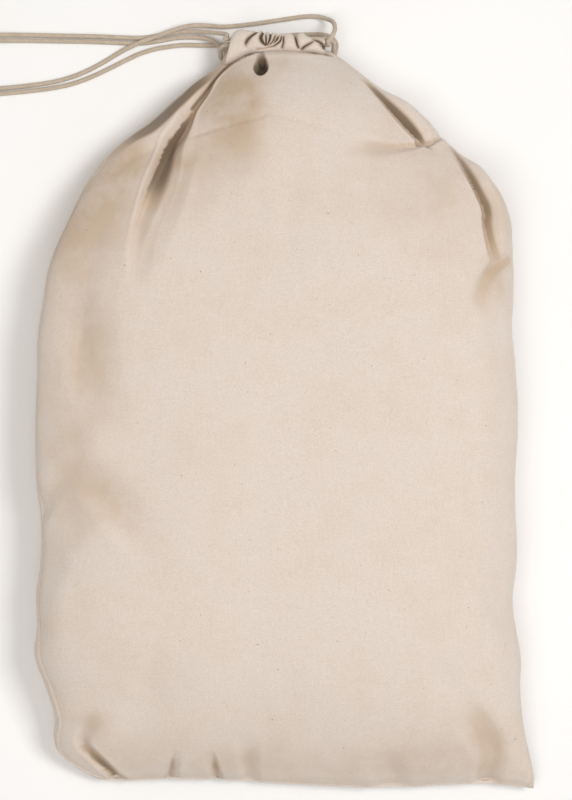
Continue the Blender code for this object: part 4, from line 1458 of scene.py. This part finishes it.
def edge_places(first, second, seen):
    """Lines across an edge, [line, place]: their points, their normals and how far in from the edge each is.

    first runs in to the edge and second away from it, each as a pair of points and normals."""
    points = np.concatenate((first[0], second[0]), axis=1)
    across = np.concatenate((first[1], second[1]), axis=1)
    steps = np.linalg.norm(np.diff(points, axis=1), axis=2)
    along = np.concatenate((np.zeros((len(points), 1)), np.cumsum(steps, axis=1)), 1)
    return points, across, along[:, seen - 1 : seen] - along


def at_distance(places, distance, height):
    """The line that runs beside an edge at one distance in from it, raised off the cloth."""
    points, across, inward = places
    out = []
    for p, n, s in zip(points, across, inward):
        read = [np.interp(distance, s[::-1], values[::-1]) for values in (*p.T, *n.T)]
        side = np.array(read[3:])
        out.append(np.array(read[:3]) + side / np.linalg.norm(side) * height)
    return np.array(out)


def band(name, places, seed, under):
    """A flat sewn seam along an edge, a little uneven in height and width, and so far turned under it."""
    lines = []
    for distance, height in BAND:
        line = at_distance(places, distance - under, 0)
        raised = at_distance(places, distance - under, 1) - line
        uneven = np.array([1 + 0.45 * noise.noise((p[0] * 60, p[1] * 60, seed)) for p in line])
        lines.append(line + raised * (height * uneven)[:, None])
    grid = np.stack(lines, axis=1)
    count, sides = grid.shape[:2]
    faces = grid_faces(count, sides, closed=True)
    faces += [tuple(range(sides)), tuple(reversed(range((count - 1) * sides, count * sides)))]
    u, v = np.meshgrid(np.linspace(0, 0.012, sides), np.linspace(0, FLAT_LENGTH, count))
    made = piece(name, grid.reshape(-1, 3), faces, SEAM_CLOTH, np.stack((u, v), axis=-1).reshape(-1, 2))
    # Painted brown and painted shade, as on the front.
    mark(made, "worn_and_shade", worn_and_shade_amounts(grid, np.zeros(grid.shape[:2])))
    mark(made, "painted_shade", shade_amounts(grid, np.ones(grid.shape[:2])))
    return made


def stitch_row(name, lines, length=STITCH, gap=STITCH_GAP, radius=STITCH_RADIUS):
    """Separate stitches along lines, each a short arched thread. A line is its points and the way up."""
    points, faces = [], []
    rings, sides = 6, 6
    for line, ups in lines:
        path, at = even_points(line, length / 4)
        share = at / at[-1] * (len(line) - 1)
        count = int(at[-1] // (length + gap))
        for k in range(count):
            start = k * (length + gap)
            base = len(points)
            places = np.linspace(start, start + length, rings)
            middles = np.stack([np.interp(places, at, path[:, i]) for i in range(3)], axis=1)
            upwards = [np.interp(share, np.arange(len(ups)), ups[:, i]) for i in range(3)]
            up = Vector([np.interp(start, at, values) for values in upwards])
            ahead = Vector(middles[-1] - middles[0]).normalized()
            side = ahead.cross(up).normalized()
            up = side.cross(ahead)
            for r in range(rings):
                rise = math.sin(math.pi * r / (rings - 1))
                thick = radius * (0.45 + 0.55 * rise)
                middle = Vector(middles[r]) + up * radius * (0.9 * rise - 0.6)
                for j in range(sides):
                    a = 2 * math.pi * j / sides
                    points.append(middle + (side * math.cos(a) + up * math.sin(a)) * thick)
            faces += [tuple(base + i for i in f) for f in grid_faces(rings, sides, closed=True)]
            faces.append(tuple(range(base, base + sides)))
            faces.append(tuple(reversed(range(base + (rings - 1) * sides, base + rings * sides))))
    return piece(name, points, faces, THREAD)


def seam_row(places, distance):
    """A line for stitches at one distance in from an edge, and the way up along it."""
    line = at_distance(places, distance, 0.0009)
    return line, at_distance(places, distance, 1.0) - at_distance(places, distance, 0)


front_sides, back_sides = (front_grid, normals(front_grid)), (back_grid, normals(back_grid))
IN, OUT = 12, 10  # grid lines either side of an edge
left_edge = edge_places([g[:, -IN:] for g in front_sides], [g[:, 1:OUT] for g in back_sides], IN)
right_edge = edge_places(
    [g[:, IN - 1 :: -1] for g in front_sides], [g[:, -2 : -OUT - 1 : -1] for g in back_sides], IN
)
matched = [resample(g[:OUT], 1, (1 - COLUMN_SHARE) * (FINE_BACK - 1)) for g in back_sides]
bottom_edge = edge_places(
    [g[IN - 1 :: -1].transpose(1, 0, 2) for g in front_sides],
    [g[1:].transpose(1, 0, 2) for g in matched],
    IN,
)
for name, edge, slot, under in (
    ("left", left_edge, "side_seams", 0.0),
    ("right", right_edge, "side_seams", 0.0),
    ("bottom", bottom_edge, "bottom_seam", 0.0045),
):
    node = "bottom_seam" if name == "bottom" else f"{name}_side_seam"
    settle(band(f"{name}_band", edge, SEED + len(name), under), "bag", node, slot)
    row = seam_row(edge, SEAM_ROW - under)
    settle(stitch_row(f"{name}_stitches", [row]), "bag", f"{name}_seam_thread", "sewing_thread")


def hem_row(grid, j):
    """A line for stitches along a hem, and the way up along it."""
    n = np.cross(np.gradient(grid, axis=0), np.roll(grid, -1, 1) - np.roll(grid, 1, 1))
    up = n[:, j] / np.linalg.norm(n[:, j], axis=1, keepdims=True)
    return grid[:, j] + up * 0.0003, up


HEM_ROW = 36  # where round the sleeve its stitches are, of HEM_SIDES
for side, grid in (("front", front_hem_grid), ("back", back_hem_grid)):
    stitches = stitch_row(f"{side}_hem_stitches", [hem_row(grid, HEM_ROW)])
    settle(stitches, "bag", f"{side}_casing_thread", "sewing_thread")


def bar_tack(name, grid, k, first, last):
    """Close parallel stitches over the end of a hem, with two more across them."""
    lines = []
    for step in range(7):
        line, up = grid[k + 3 * step, first : last + 1], hem_row(grid, first)[1][k + 3 * step]
        lines.append((line + up * 0.0004, np.tile(up, (len(line), 1))))
    for j in (first + 2, last - 2):
        line, up = hem_row(grid, j)
        lines.append((line[k - 2 : k + 22] + up[k - 2 : k + 22] * 0.0006, up[k - 2 : k + 22]))
    return stitch_row(name, lines, 0.0036, 0.0002, 0.00030)


for side, k in (("left", 12), ("right", HEM_COLUMNS - 36)):
    settle(bar_tack(f"{side}_tack", front_hem_grid, k, 14, 34), "bag", f"{side}_bar_tack", "bar_tacks")
trims = [o for o in bpy.data.objects if o.name.endswith(("_band", "_stitches", "_tack", "_hem"))]
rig.sheet(
    front,
    flat=(FLAT_WIDTH, FLAT_LENGTH),
    held="gathered",
    rests_on=("left_core", "right_core"),
    with_pieces=[o for o in trims if o.name != "back_hem"],
)
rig.sheet(back, flat=(FLAT_WIDTH, FLAT_LENGTH), held="laid", with_pieces=(back_hem,))

# ---------------------------------------------------------------- light, floor, end


def area_light(name, place, size, power, colour):
    """A square lamp that looks at the middle of the bag."""
    data = bpy.data.lights.new(name, "AREA")
    data.size = size
    data.energy = power
    data.color = colour
    made = bpy.data.objects.new(name, data)
    made.location = place
    made.rotation_euler = (Vector((0, 0, 0.05)) - Vector(place)).to_track_quat("-Z", "Y").to_euler()
    scene.collection.objects.link(made)


area_light("key", (2.20, 0.60, 4.30), 1.6, 105, (0.985, 0.99, 1.0))
area_light("overhead", (-0.80, -0.90, 4.30), 2.8, 62, (1.0, 0.99, 0.97))
world = bpy.data.worlds.new("studio")
world.use_nodes = True
world.node_tree.nodes["Background"].inputs["Color"].default_value = (1.0, 0.95, 0.89, 1.0)
world.node_tree.nodes["Background"].inputs["Strength"].default_value = 0.40
scene.world = world
scene.view_settings.view_transform = "Standard"


def floor():
    """A plain pale floor, very slightly mottled."""
    shape = bmesh.new()
    bmesh.ops.create_grid(shape, x_segments=1, y_segments=1, size=30.0)
    data = bpy.data.meshes.new("floor")
    shape.to_mesh(data)
    shape.free()
    m = Nodes("floor_white")
    cloudy = m.noise(m.add("TexCoord").outputs["Object"], 3.0, 2.0)
    colour = m.mix(m.ramp(cloudy, 0.3, 0.7), (0.93, 0.93, 0.93), (0.95, 0.95, 0.95))
    m.join(colour, m.shader.inputs["Base Color"])
    m.shader.inputs["Roughness"].default_value = 0.9
    data.materials.append(m.material)
    made = bpy.data.objects.new("floor", data)
    scene.collection.objects.link(made)
    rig.stage(made)


floor()
with open("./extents.json", "w") as out:
    json.dump({"cad": [list(c) for c in CAD_BOX], "visual": [list(c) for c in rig.bounds()]}, out)
